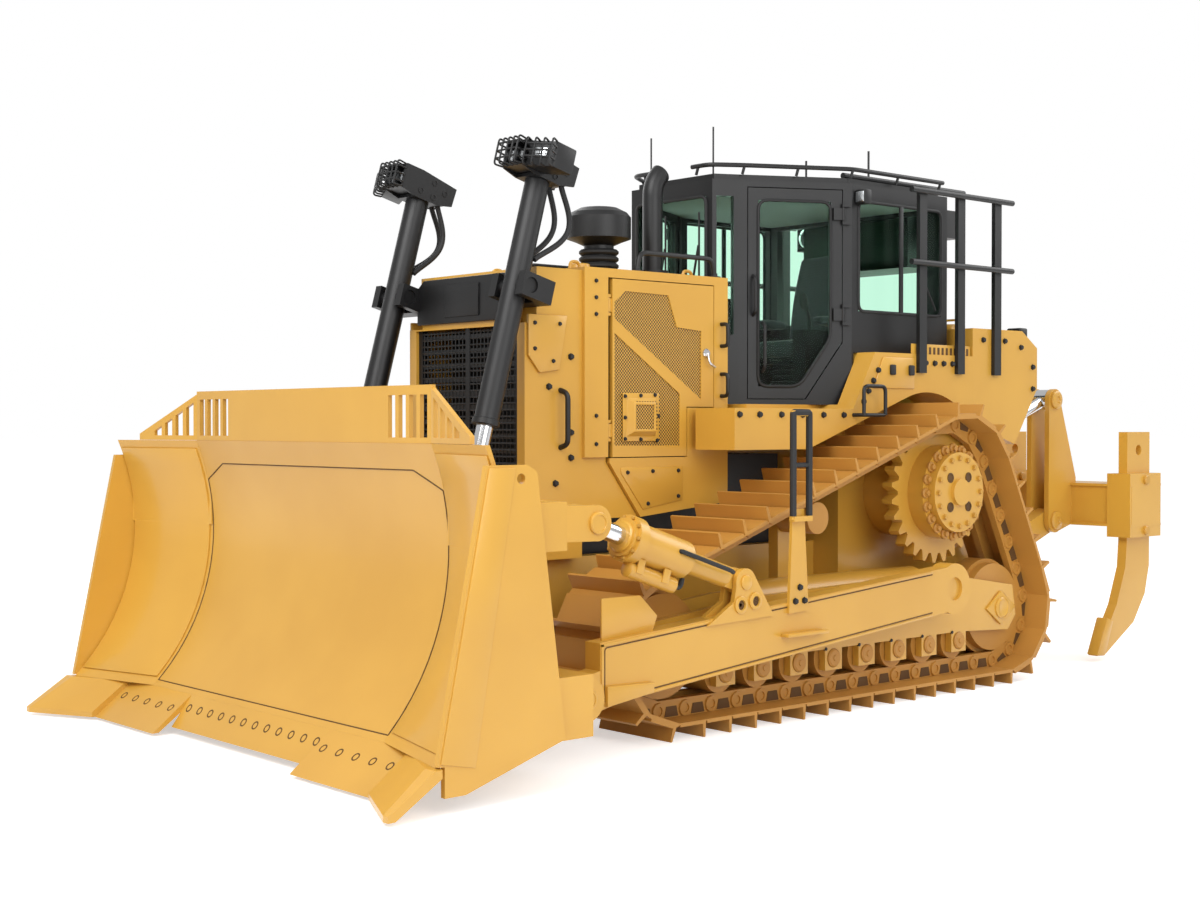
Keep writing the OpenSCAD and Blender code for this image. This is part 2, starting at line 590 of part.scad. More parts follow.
// Fuel tank across the rear, with room below for the ripper linkage
tank_x = [-2390, -1600 - seat];
module fuel_tank() color(yellow) place() difference() {
    xz(-body_half, body_half) polygon([[tank_x[1], 1700], [-1960, 1700], [-2110, 1656], [tank_x[0], 2060],
        [tank_x[0], 2360], [-2200, 2480], [tank_x[1], 2480]]);
    xz(-tower_y - 130, tower_y + 130) polygon([[tank_x[1] + 1, 1600], [tank_x[1] + 1, 1690 + seat], [-1880, 1690 + seat],
        [-1900, 1870], [-2100, 1900], [tank_x[0] - 20, 2190], [tank_x[0] - 20, 1600]]);
    both() ycyl(arch_r, track_in - 30, body_half + 1, drive_c);
}

// Operator's seat and console, seen through the glass
module operator_seat() color(black) place() {
    box([-1150, -650], [-250, 250], [sill_z + 30, 2250]);
    box([-1150, -630], [-260, 260], [2249, 2400]);
    xz(-250, 250) polygon([[-1010, 2399], [-1150, 2399], [-1280, 3050], [-1150, 3050]]);
}
module console() color(black) place() {
    box([-150, 250], [-240, 240], [sill_z + 30, 2560]);
    both() box([-1050, -450], [330, 450], [sill_z + 30, 2450]);
}

// Handrail posts on the fenders, roof rails, lamps, air conditioner box and antennas
rail_r = 20;
post_x = [-1000, -1430, -1860];
module handrails() color(black) place() both() {
    for (x = post_x) box([x - 40, x + 40], [body_half + seat, body_half + 30], [2150, 3400]);
    for (z = [2900, 3390])
        translate([post_x[2] - 150, body_half + 30 + rail_r - 5, z]) rotate([0, 90, 0]) cylinder(r = rail_r, h = post_x[0] - post_x[2] + 300);
}
module roof_fittings() color(black) place() {
    both() {
        translate([cab_x[0] - 300, cab_half - 80, roof_z + seat + rail_r]) rotate([0, 90, 0])
            cylinder(r = rail_r, h = cab_x[1] - cab_x[0] + 300);
        translate([-1300, 300, roof_z + seat]) cylinder(r = 8, h = 330);
    }
    box([cab_x[0] - 420, cab_x[0] - seat], [-500, 500], [2940, roof_z]);
    both() box([cab_x[0] - 350, cab_x[0] - 150], [499, 700], [3150, 3350]);
}

// Lift cylinder yokes on the radiator guard
yoke_half = 95;
yoke_t = 60;
yoke_shaft_z = 2560;
pocket_x = guard_x[1] - 90;
module lift_yokes() color(black) place() both() {
    along(lift_trunnion, lift_dir, lift_y) difference() {
        translate([-70, -yoke_half - yoke_t, -165]) cube([140, 2 * (yoke_half + yoke_t), 225]);
        translate([-71, -yoke_half, -lift_barrel_r - run - 12]) cube([142, 2 * yoke_half, 400]);
        rotate([90, 0, 0]) translate([0, 0, -300]) cylinder(r = lift_pin_r + seat, h = 600);
    }
    translate([pocket_x + seat, lift_y - 85, yoke_shaft_z]) rotate([0, 90, 0]) cylinder(r = 60, h = 60);
}
lift_pin_r = 45;

// Blade: curved moldboard with swept wings, end plates, box beams and ears behind
mold_low = [3560, 220];
mold_top = mold_low + [-0.19 * blade_h - 9, blade_h];
mold_r = 1300;
mold_chord = mold_top - mold_low;
mold_c = (mold_low + mold_top) / 2
    + sqrt(pow(mold_r, 2) - pow(norm(mold_chord) / 2, 2)) * [mold_chord[1], -mold_chord[0]] / norm(mold_chord);
wing_a = 15;
wing_y = blade_mid_w / 2;
end_t = 30;
end_y = blade_w / 2;
wing_dx = (end_y - wing_y) * tan(wing_a);
beam_low = [[2780, 250], [3300, 560]];
beam_top = [[2950, 1180], [3100, 1420]];
mold_a0 = ang(mold_low - mold_c) + 360;
mold_a1 = ang(mold_top - mold_c);
mold_seg = 14;
function mold_arc(r, a0, a1, n) = [for (k = [0 : n]) mold_c + r * dir(a0 + (a1 - a0) * k / n)];
// Back of the moldboard at height z
function mold_back(z) = mold_c[0] - sqrt(pow(mold_r + moldboard_t, 2) - pow(z - mold_c[1], 2));
module blade() color(yellow) place() {
    xz(-wing_y, wing_y) difference() {
        union() {
            intersection() {
                translate(mold_c) circle(mold_r + moldboard_t, $fn = 96);
                polygon([mold_low, mold_low - [900, 0], mold_top - [700, 0], mold_top]);
            }
            for (b = [beam_low, beam_top]) translate(b[0]) square([mold_back(b[1][1]) - b[0][0] + 12, b[1][1] - b[0][1]]);
        }
        translate(mold_c) circle(mold_r, $fn = 96);
    }
    both() lift_ears();
}
// Wing section: front arc up, back arc down
function wing_section(dx) = [for (p = concat(mold_arc(mold_r, mold_a0, mold_a1, mold_seg),
    mold_arc(mold_r + moldboard_t, back_a(mold_top[1]), back_a(mold_low[1]), mold_seg))) p + [dx, 0]];
// Angle on the back arc at height z
function back_a(z) = 180 + asin((mold_c[1] - z) / (mold_r + moldboard_t));
module wing_loft() {
    y0 = wing_y + seat;
    y1 = end_y - end_t - seat;
    dx = (y1 - wing_y) * tan(wing_a);
    n = 2 * mold_seg + 2;
    polyhedron(
        points = concat([for (p = wing_section(0)) [p[0], y0, p[1]]], [for (p = wing_section(dx)) [p[0], y1, p[1]]]),
        faces = concat(
            [for (k = [0 : mold_seg - 1]) [n - 1 - k, n - 2 - k, k + 1, k]],
            [for (k = [0 : mold_seg - 1]) [n + k, n + k + 1, 2 * n - 2 - k, 2 * n - 1 - k]],
            [for (k = [0 : n - 1]) [k, (k + 1) % n, n + (k + 1) % n, n + k]]));
    // Box beams behind, swept with the plate
    for (b = [beam_low, beam_top]) translate([0, 0, b[0][1]]) linear_extrude(b[1][1] - b[0][1])
        polygon([[b[0][0], y0], [mold_back(b[1][1]) + 12, y0], [mold_back(b[1][1]) + 12 + dx, y1], [b[0][0], y1]]);
}
module blade_wings() color(yellow) place() both() {
    wing_loft();
    xz(end_y - end_t, end_y) difference() {
        polygon([[mold_top[0] + wing_dx - 300, mold_top[1] - 130], [mold_top[0] + wing_dx - 240, mold_top[1] - 95],
            [mold_top[0] + wing_dx + 6, mold_top[1] - 95], [mold_low[0] + wing_dx, mold_low[1] + 8],
            [mold_low[0] + wing_dx - 40, mold_low[1] + 5], [mold_low[0] + wing_dx - 40, mold_low[1] - 140],
            [mold_low[0] + wing_dx - 160, mold_low[1] - 140], [2985, 265]]);
        translate([mold_top[0] + wing_dx - 200, mold_top[1] - 160]) circle(25);
    }
    arm_ears();
    tilt_ears();
}
blade_ear_r = 120;
arm_ear_ys = [arm_y - arm_t / 2 - run - ear_t, arm_y + arm_t / 2 + run];
module arm_ears() {
    for (y = arm_ear_ys) xz(y, y + ear_t)
        link_outline(low_pin, blade_ear_r, [beam_low[0][0] + 90, low_pin[1] + 40], blade_ear_r - 25);
    ycyl(pin_r, arm_ear_ys[0] + 1, arm_ear_ys[1] + ear_t - 1, low_pin);
}
module tilt_ears() for (y = ear_ys(tilt_y)) xz(y, y + ear_t)
    link_outline(tilt_pin, ear_r, [beam_top[0][0] + 90, tilt_pin[1] + 10], ear_r);
module lift_ears() for (y = ear_ys(lift_y)) xz(y, y + ear_t) difference() {
    link_outline(lift_eye, ear_r, [3180, lift_eye[1] + 30], ear_r + 35);
    translate(mold_c) circle(mold_r + 5, $fn = 96);
}

// Spill guard: solid middle, ribs and a rail that slopes down to the wings
spill_t = 25;
spill_x = mold_top[0] - spill_t - 5;
spill_mid = 800;                    // half width of the solid middle
spill_end = 520;                    // length of a sloping end
module spill_guard() color(yellow) place() {
    z0 = mold_top[1] + seat;
    yz(spill_x, spill_x + spill_t) {
        difference() {
            polygon([[-wing_y, z0], [wing_y, z0], [wing_y, z0 + spill_h], [-wing_y, z0 + spill_h]]);
            for (s = [-1, 1], k = [0 : 3])
                translate([s * (spill_mid + 75 + k * 95) - 32, z0 + 30]) square([64, spill_h - 80]);
        }
    }
    // Sloping ends over the wings
    both() translate([spill_x, wing_y, 0]) rotate([0, 0, -wing_a]) yz(0, spill_t) difference() {
        polygon([[-30, z0 + 1], [spill_end, z0 + 1], [spill_end, z0 + 40], [-30, z0 + spill_h - 1]]);
        for (k = [0 : 3]) translate([35 + k * 95, z0 + 30])
            polygon([[0, 0], [64, 0], [64, slot_h(99 + k * 95)], [0, slot_h(35 + k * 95)]]);
    }
}
// Height of a slot under the sloping rail, at distance y along the wing
function slot_h(y) = spill_h - (spill_h - 40) * y / spill_end - 80;

// Cutting edges and end bits along the foot of the blade
edge_t = 40;
module cutting_edges() color(yellow) place() {
    edge(-750, 750, [3690, blade_clear + 25]);
    both() {
        edge(750 + seat, 1500, [3810, blade_clear]);
        hull() {
            box([3560, 3600], [1500 + seat, 1540], [180, mold_low[1] - seat]);
            box([3790, 3830], [1500 + seat, 1540], [blade_clear, blade_clear + 30]);
            box([3740, 3780], [end_y - 60, end_y + 20], [180, mold_low[1] - seat]);
            box([x_front - 40, x_front], [end_y - 20, end_y + 20], [blade_clear, blade_clear + 30]);
        }
    }
}
module edge(y0, y1, tip) xz(y0, y1) polygon([tip, tip - [edge_t, 0], [mold_low[0] - 60, mold_low[1] - seat],
    [mold_low[0], mold_low[1] - seat]]);

// Push arms: a deep box from the trunnion to the blade pin, with the tilt cylinder's bracket
arm_front = low_pin[0] - 130;
module push_arm() {
    y0 = arm_y - arm_t / 2;
    y1 = arm_y + arm_t / 2;
    difference() {
        union() {
            xz(y0, y1) {
                polygon([[trunnion[0] + 60, trunnion[1] - 145], [trunnion[0] + 60, trunnion[1] + 145],
                    [arm_front, 300 + arm_h], [arm_front, 300]]);
                translate(trunnion) circle(165);
                link_outline(low_pin, 105, [arm_front - 60, low_pin[1] + 40], 105);
            }
            // Bracket for the tilt cylinder
            for (y = [tilt_y - tilt_eye_half - run - tilt_ear_t, tilt_y + tilt_eye_half + run]) xz(y, y + tilt_ear_t) {
                polygon([[1060, 690], tilt_clevis + [-70, 40], tilt_clevis + [75, 0], [1390, 790], [1600, 670]]);
                translate(tilt_clevis) circle(80);
            }
        }
        ycyl(trunnion_r + seat, y0 - 1, y1 + 1, trunnion);
        ycyl(pin_r + seat, y0 - 1, y1 + 1, low_pin);
    }
    ycyl(tilt_pin_r, tilt_y - tilt_eye_half - run - tilt_ear_t, tilt_y + tilt_eye_half + run + tilt_ear_t, tilt_clevis);
    // Upright step bracket
    xz(y1 + seat - 1, y1 + 20) polygon([[760, 700], [930, 690], [900, 1300], [800, 1300]]);
    for (x = [780, 920]) translate([x, y1 + 40, 1240]) cylinder(r = 16, h = 640);
    translate([780, y1 + 40, 1860]) rotate([0, 90, 0]) cylinder(r = 14, h = 140);
    box([770, 930], [y1 + 19, y1 + 60], [1230, 1260]);
}
module push_arm_left() color(yellow) place() push_arm();
module push_arm_right() color(yellow) place() mirror([0, 1, 0]) push_arm();

// Blade tilt cylinders: barrel on the push arm, rod to the blade
tilt_end = 950;                     // open end of the barrel from its pin
module tilt_barrels() color(yellow) place() both() along(tilt_clevis, tilt_dir, tilt_y) {
    difference() {
        union() {
            xcyl(64, 130, 500);
            xcyl(tilt_barrel_r, 480, tilt_end);
            xcyl(tilt_barrel_r + 22, tilt_end - 90, tilt_end - 20);
            rotate([90, 0, 0]) translate([0, 0, -tilt_eye_half]) linear_extrude(2 * tilt_eye_half) {
                circle(75);
                translate([0, -60]) square([160, 120]);
            }
        }
        xcyl(tilt_bore_r, 520, tilt_end + 1);
        rotate([90, 0, 0]) translate([0, 0, -100]) cylinder(r = tilt_pin_r + seat, h = 200);
    }
}
tilt_eye_half = 25;
tilt_ear_t = 30;
tilt_pin_r = 35;
module tilt_rods() color(steel) place() both() along(tilt_clevis, tilt_dir, tilt_y) {
    xcyl(tilt_bore_r - rod_gap, 640, tilt_len - 40);
    difference() {
        translate([tilt_len, 0, 0]) rotate([90, 0, 0]) translate([0, 0, -eye_half]) cylinder(r = eye_r, h = 2 * eye_half);
        translate([tilt_len, 0, 0]) rotate([90, 0, 0]) translate([0, 0, -100]) cylinder(r = 35, h = 200);
    }
}

// Blade lift cylinders in their yokes, each with a lamp head on top
lift_up = 640;                      // trunnion to the top of the barrel
lift_down = 830;                    // trunnion to the open end of the barrel
module lift_barrels() color(black) place() both() along(lift_trunnion, lift_dir, lift_y) {
    difference() {
        xcyl(lift_barrel_r, -lift_up, lift_down);
        xcyl(lift_bore_r, -lift_up + 60, lift_down + 1);
    }
    rotate([90, 0, 0]) for (s = [-1, 1]) translate([0, 0, s * (lift_barrel_r - 12 + (yoke_half + yoke_t - lift_barrel_r) / 2)])
        cylinder(r = lift_pin_r, h = yoke_half + yoke_t - lift_barrel_r, center = true);
}
lamp_half = 95;
module lift_lamps() color(black) place() both() along(lift_trunnion, lift_dir, lift_y)
    translate([-lift_up - seat, 0, 0]) {
    // Foot on the barrel, two bracket plates and the twin lamp housing between them
    translate([-20, -lamp_half, -90]) cube([20, 2 * lamp_half, 180]);
    for (y = [-lamp_half, lamp_half - 12]) xz(y, y + 12)
        polygon([[0, -90], [-30, -200], [-150, -210], [-180, 60], [-180, 190], [-20, 190], [0, 90]]);
    difference() {
        translate([-175, -lamp_half + 1, 60]) cube([150, 2 * lamp_half - 2, 140]);
        for (y = [-lamp_half + 12, 6]) translate([-165, y, 150]) cube([130, lamp_half - 18, 60]);
    }
}
module lift_rods() color(steel) place() both() along(lift_trunnion, lift_dir, lift_y) {
    xcyl(lift_bore_r - rod_gap, lift_len - 1490, lift_len - 40);
    difference() {
        translate([lift_len, 0, 0]) rotate([90, 0, 0]) translate([0, 0, -eye_half]) cylinder(r = eye_r, h = 2 * eye_half);
        translate([lift_len, 0, 0]) rotate([90, 0, 0]) translate([0, 0, -100]) cylinder(r = 35, h = 200);
    }
}

// Ripper: lower link, beam with towers and shanks, tilt cylinders above and lift cylinders between
rip_tube = rip_low + [-450, 20];
module ripper_link() color(yellow) place() {
    both() {
        xz(tower_y - eye_half, tower_y + eye_half) difference() {
            link_outline(rip_low, ear_r - 5, rip_low_pin, ear_r - 5);
            for (c = [rip_low, rip_low_pin]) translate(c) circle(pin_r + seat);
        }
        for (y = ear_ys(rip_lift_y)) xz(y, y + ear_t) link_outline(rip_tube, 125, rip_lift_eye, ear_r - 5);
    }
    ycyl(110, -tower_y, tower_y, rip_tube);
}
module ripper_beam() color(yellow) place() {
    difference() {
        union() {
            box([beam_x - beam_d / 2, beam_x + beam_d / 2], [-ripper_w / 2, ripper_w / 2], beam_z);
            for (z = [beam_z[0] - 20, beam_z[1]])
                box([beam_x - beam_d / 2 - 20, beam_x + beam_d / 2 + 20], [-ripper_w / 2, ripper_w / 2], [z, z + 20]);
            for (y = shank_ys) box([beam_x - shank_d / 2 - 60, beam_x + shank_d / 2 + 60], [y - 100, y + 100],
                [beam_z[0] - 100, beam_z[1] + 100]);
        }
        for (y = shank_ys) box([beam_x - shank_d / 2 - seat, beam_x + shank_d / 2 + seat],
            [y - shank_t / 2 - seat, y + shank_t / 2 + seat], [beam_z[0] - 200, beam_z[1] + 200]);
    }
    both() {
        for (y = ear_ys(tower_y)) xz(y, y + ear_t) {
            link_outline(rip_low_pin, ear_r, rip_top_pin, ear_r - 10);
            polygon([rip_low_pin + [0, -ear_r], rip_top_pin + [-40, ear_r - 20],
                [beam_x + beam_d / 2 - 60, beam_z[1] + 60], [beam_x + beam_d / 2 - 60, beam_z[0] + 1]]);
        }
        for (c = [rip_low_pin, rip_top_pin]) ycyl(pin_r, ear_ys(tower_y)[0], ear_ys(tower_y)[1] + ear_t, c);
    }
}
shank_ys = [-shank_y, 0, shank_y];
shank_tip = [beam_x + 570, 50];
module ripper_shanks() color(yellow) place() for (y = shank_ys) xz(y - shank_t / 2, y + shank_t / 2) difference() {
    polygon([[beam_x - shank_d / 2, 1740], [beam_x - shank_d / 2, 700], [beam_x - shank_d / 2 + 60, 480],
        [beam_x + 60, 270], [shank_tip[0] - 100, 45], shank_tip, [beam_x + 300, 420], [beam_x + shank_d / 2 + 20, 700],
        [beam_x + shank_d / 2, 900], [beam_x + shank_d / 2, 1740]]);
    translate([beam_x, 1600]) circle(40);
}
rip_dir = ang(rip_arm);
rip_len = norm(rip_arm);
module ripper_tilt_barrels() color(yellow) place() both() along(rip_top, rip_dir, tower_y) {
    difference() {
        union() {
            xcyl(eye_half - 5, 50, 130);
            xcyl(ripper_barrel_r, 118, 640);
            rotate([90, 0, 0]) translate([0, 0, -eye_half]) cylinder(r = eye_r, h = 2 * eye_half);
        }
        xcyl(ripper_bore_r, 150, 641);
        rotate([90, 0, 0]) translate([0, 0, -100]) cylinder(r = pin_r + seat, h = 200);
    }
}
module ripper_tilt_rods() color(steel) place() both() along(rip_top, rip_dir, tower_y) difference() {
    union() {
        xcyl(ripper_bore_r - rod_gap, 300, rip_len - 40);
        translate([rip_len, 0, 0]) rotate([90, 0, 0]) translate([0, 0, -eye_half]) cylinder(r = eye_r, h = 2 * eye_half);
    }
    translate([rip_len, 0, 0]) rotate([90, 0, 0]) translate([0, 0, -100]) cylinder(r = pin_r + seat, h = 200);
}
module ripper_lift_barrels() color(yellow) place() both() along(rip_lift_top, rip_lift_dir, rip_lift_y) difference() {
    union() {
        xcyl(eye_half - 5, 50, 130);
        xcyl(ripper_barrel_r, 118, 790);
        rotate([90, 0, 0]) translate([0, 0, -eye_half]) cylinder(r = eye_r, h = 2 * eye_half);
    }
    xcyl(ripper_bore_r, 140, 791);
    rotate([90, 0, 0]) translate([0, 0, -100]) cylinder(r = pin_r + seat, h = 200);
}
module ripper_lift_rods() color(steel) place() both() along(rip_lift_top, rip_lift_dir, rip_lift_y) difference() {
    union() {
        xcyl(ripper_bore_r - rod_gap, rip_lift_len - 780, rip_lift_len - 40);
        translate([rip_lift_len, 0, 0]) rotate([90, 0, 0]) translate([0, 0, -eye_half]) cylinder(r = eye_r, h = 2 * eye_half);
    }
    translate([rip_lift_len, 0, 0]) rotate([90, 0, 0]) translate([0, 0, -100]) cylinder(r = 35, h = 200);
}

main_frame();
engine_block();
radiator_guard();
radiator_core();
grille();
hood();
engine_door_left();
engine_door_right();
exhaust_stack();
precleaner();
platform();
fuel_tank();
cab_frame();
cab_glass();
cab_door_left();
cab_door_right();
door_glass_left();
door_glass_right();
operator_seat();
console();
handrails();
roof_fittings();
track_left();
track_right();
idlers();
rollers();
roller_frame_left();
roller_frame_right();
sprocket_left();
sprocket_right();
push_arm_left();
push_arm_right();
blade();
blade_wings();
spill_guard();
cutting_edges();
tilt_barrels();
tilt_rods();
lift_yokes();
lift_barrels();
lift_lamps();
lift_rods();
ripper_link();
ripper_beam();
ripper_shanks();
ripper_tilt_barrels();
ripper_tilt_rods();
ripper_lift_barrels();
ripper_lift_rods();
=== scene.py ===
"""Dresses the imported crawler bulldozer: finishes, bolts, pipes, lamps, guards and the studio around it."""

import math

import bpy
from mathutils import Matrix, Vector


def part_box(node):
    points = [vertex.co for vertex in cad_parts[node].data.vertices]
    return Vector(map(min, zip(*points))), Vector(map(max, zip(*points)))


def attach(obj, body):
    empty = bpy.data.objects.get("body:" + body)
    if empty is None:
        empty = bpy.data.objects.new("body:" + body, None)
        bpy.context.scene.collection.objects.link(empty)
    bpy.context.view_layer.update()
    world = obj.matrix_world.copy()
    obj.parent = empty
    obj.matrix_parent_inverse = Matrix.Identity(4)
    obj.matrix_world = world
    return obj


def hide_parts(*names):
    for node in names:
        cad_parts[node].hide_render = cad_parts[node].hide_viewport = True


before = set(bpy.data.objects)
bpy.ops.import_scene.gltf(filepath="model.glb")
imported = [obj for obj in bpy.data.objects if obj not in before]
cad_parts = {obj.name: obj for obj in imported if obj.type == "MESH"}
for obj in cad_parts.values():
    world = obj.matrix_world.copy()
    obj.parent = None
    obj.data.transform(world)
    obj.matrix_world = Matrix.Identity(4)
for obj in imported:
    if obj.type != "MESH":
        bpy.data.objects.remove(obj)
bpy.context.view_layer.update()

bl_info = {
    "name": "Crawler Bulldozer Dressing",
    "version": (1, 0, 0),
    "blender": (4, 5, 0),
    "location": "View3D > Sidebar > Bulldozer",
    "description": "Finishes and small parts for a crawler bulldozer with a packed CAD frame",
    "category": "Object",
}

# The CAD source measures X from midway between the idlers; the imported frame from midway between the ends
SHIFT = -0.155


def at(x, y, z):
    """A point of the CAD source, in metres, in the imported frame."""
    return Vector((x + SHIFT, y, z))


class BulldozerColours(bpy.types.PropertyGroup):
    """Colours of the machine's finishes, as sRGB hex."""

    enamel: bpy.props.StringProperty(
        name="Enamel", description="Yellow enamel of the plate work", default="D4A23F")
    enamel_shade: bpy.props.StringProperty(
        name="Enamel shade", description="Yellow enamel where the coat is thicker", default="C9973A")
    black: bpy.props.StringProperty(
        name="Black", description="Satin black powder coat", default="111112")
    track: bpy.props.StringProperty(
        name="Track", description="Sprayed paint on the cast track", default="BF8A3C")
    glass: bpy.props.StringProperty(
        name="Glass", description="Green tint of the cab glass", default="E2FDEF")
    rubber: bpy.props.StringProperty(
        name="Rubber", description="Hoses, seals and latches", default="1B1B1C")
    fabric: bpy.props.StringProperty(
        name="Fabric", description="Cloth of the operator's seat", default="34363A")


class BulldozerSizes(bpy.types.PropertyGroup):
    """Sizes of the small parts."""

    bolt: bpy.props.FloatProperty(
        name="Bolt", description="Across the corners of a plate bolt's head", default=0.034, unit="LENGTH")
    small_bolt: bpy.props.FloatProperty(
        name="Small bolt", description="Across the corners of a cover bolt's head", default=0.022,
        unit="LENGTH")
    hose: bpy.props.FloatProperty(
        name="Hose", description="Diameter of a hydraulic hose", default=0.034, unit="LENGTH")


# Materials

def linear(code, alpha=1.0):
    """An sRGB hex code as linear RGBA."""
    parts = [int(code[i:i + 2], 16) / 255 for i in (0, 2, 4)]
    return [p / 12.92 if p <= 0.04045 else ((p + 0.055) / 1.055) ** 2.4 for p in parts] + [alpha]


def add_node(tree, kind, settings=None, **inputs):
    """Adds one node; an input is a value or another node's output socket. Names use _ for a space."""
    made = tree.nodes.new(kind)
    for key, value in (settings or {}).items():
        setattr(made, key, value)
    for key, value in inputs.items():
        socket = made.inputs[int(key[1:])] if key[1:].isdigit() else made.inputs[key.replace("_", " ")]
        if isinstance(value, bpy.types.NodeSocket):
            tree.links.new(value, socket)
        else:
            socket.default_value = value
    return made


def new_material(name):
    """An empty node material with its shader and an Object coordinate output."""
    material = bpy.data.materials.new(name)
    material.use_nodes = True
    tree = material.node_tree
    place = tree.nodes.new("ShaderNodeTexCoord").outputs["Object"]
    return material, tree, tree.nodes["Principled BSDF"], place


def sprayed(name, code, shade, rough, coat, patch=0.9, peel=0.006, bump=0.04, metallic=0.0):
    """Sprayed coat on plate: wide colour drift, fine orange peel and a roughness that wanders with both.
    patch and peel are the sizes in metres of the drift and of the peel."""
    material, tree, shader, place = new_material(name)
    drift = add_node(tree, "ShaderNodeTexNoise", Vector=place, Scale=1 / patch, Detail=3.0)
    grain = add_node(tree, "ShaderNodeTexNoise", Vector=place, Scale=1 / peel, Detail=2.0)
    ramp = add_node(tree, "ShaderNodeMapRange", Value=drift.outputs["Fac"], From_Min=0.3, From_Max=0.7)
    colour = add_node(tree, "ShaderNodeMix", {"data_type": "RGBA"}, Factor=ramp.outputs["Result"],
                      _6=linear(code), _7=linear(shade))
    gloss = add_node(tree, "ShaderNodeMapRange", Value=drift.outputs["Fac"], From_Min=0.3, From_Max=0.7,
                     To_Min=rough - 0.05, To_Max=rough + 0.06)
    relief = add_node(tree, "ShaderNodeBump", Height=grain.outputs["Fac"], Strength=bump, Distance=0.002)
    tree.links.new(colour.outputs[2], shader.inputs["Base Color"])
    tree.links.new(gloss.outputs["Result"], shader.inputs["Roughness"])
    tree.links.new(relief.outputs["Normal"], shader.inputs["Normal"])
    shader.inputs["Coat Weight"].default_value = coat
    shader.inputs["Coat Roughness"].default_value = 0.12
    shader.inputs["Metallic"].default_value = metallic
    return material


def woven(name, code):
    """Seat cloth: two crossed thread waves, drawn 6 mm apart so that they show."""
    material, tree, shader, place = new_material(name)
    threads = [add_node(tree, "ShaderNodeTexWave", {"bands_direction": axis}, Vector=place,
                        Scale=1 / 0.006 / 3.1416, Distortion=1.5).outputs["Fac"] for axis in "XZ"]
    cross = add_node(tree, "ShaderNodeMath", {"operation": "MAXIMUM"}, _0=threads[0], _1=threads[1])
    relief = add_node(tree, "ShaderNodeBump", Height=cross.outputs["Value"], Strength=0.4, Distance=0.003)
    shader.inputs["Base Color"].default_value = linear(code)
    shader.inputs["Roughness"].default_value = 0.85
    shader.inputs["Sheen Weight"].default_value = 0.3
    tree.links.new(relief.outputs["Normal"], shader.inputs["Normal"])
    return material


def polished(name, code, rough):
    """Ground and polished metal with faint turning lines 3 mm apart."""
    material, tree, shader, place = new_material(name)
    lines = add_node(tree, "ShaderNodeTexNoise", Vector=place, Scale=1 / 0.003, Detail=1.0)
    gloss = add_node(tree, "ShaderNodeMapRange", Value=lines.outputs["Fac"], To_Min=rough * 0.7,
                     To_Max=rough * 1.4)
    tree.links.new(gloss.outputs["Result"], shader.inputs["Roughness"])
    shader.inputs["Base Color"].default_value = linear(code)
    shader.inputs["Metallic"].default_value = 1.0
    return material


def tinted_glass(name, code):
    """Laminated safety glass: clear, green-tinted, with slight roll waves 300 mm apart."""
    material, tree, shader, place = new_material(name)
    waves = add_node(tree, "ShaderNodeTexNoise", Vector=place, Scale=1 / 0.3, Detail=1.0)
    relief = add_node(tree, "ShaderNodeBump", Height=waves.outputs["Fac"], Strength=0.02, Distance=0.002)
    tree.links.new(relief.outputs["Normal"], shader.inputs["Normal"])
    shader.inputs["Base Color"].default_value = linear(code)
    shader.inputs["Transmission Weight"].default_value = 1.0
    shader.inputs["Roughness"].default_value = 0.02
    shader.inputs["IOR"].default_value = 1.1
    return material


def perforated(name, code, pitch=0.022, hole=0.3):
    """Perforated steel sheet, sprayed with the hood: staggered round holes, with painted shade in them. They
    are drawn 22 mm apart so that they show."""
    material, tree, shader, place = new_material(name)
    dots = []
    for offset in ((0, 0, 0), (0.5, 0, 0.5)):
        grid = add_node(tree, "ShaderNodeVectorMath", {"operation": "MULTIPLY_ADD"}, _0=place,
                        _1=(1 / pitch, 0, 1 / pitch), _2=offset)
        cell = add_node(tree, "ShaderNodeVectorMath", {"operation": "FRACTION"}, _0=grid.outputs["Vector"])
        reach = add_node(tree, "ShaderNodeVectorMath", {"operation": "DISTANCE"}, _0=cell.outputs["Vector"],
                         _1=(0.5, 0, 0.5))
        dots.append(add_node(tree, "ShaderNodeMath", {"operation": "LESS_THAN"}, _0=reach.outputs["Value"],
                             _1=hole))
    holes = add_node(tree, "ShaderNodeMath", {"operation": "MAXIMUM"},
                     _0=dots[0].outputs["Value"], _1=dots[1].outputs["Value"])
    # The holes are painted dark brown: painted shade seen through the holes
    colour = add_node(tree, "ShaderNodeMix", {"data_type": "RGBA"}, Factor=holes.outputs["Value"],
                      _6=linear(code), _7=linear("4A3514"))
    depth = add_node(tree, "ShaderNodeMath", {"operation": "SUBTRACT"}, _0=1.0, _1=holes.outputs["Value"])
    relief = add_node(tree, "ShaderNodeBump", Height=depth.outputs["Value"], Strength=0.5, Distance=0.004)
    tree.links.new(colour.outputs[2], shader.inputs["Base Color"])
    tree.links.new(relief.outputs["Normal"], shader.inputs["Normal"])
    shader.inputs["Roughness"].default_value = 0.45
    return material


FINISH = {}


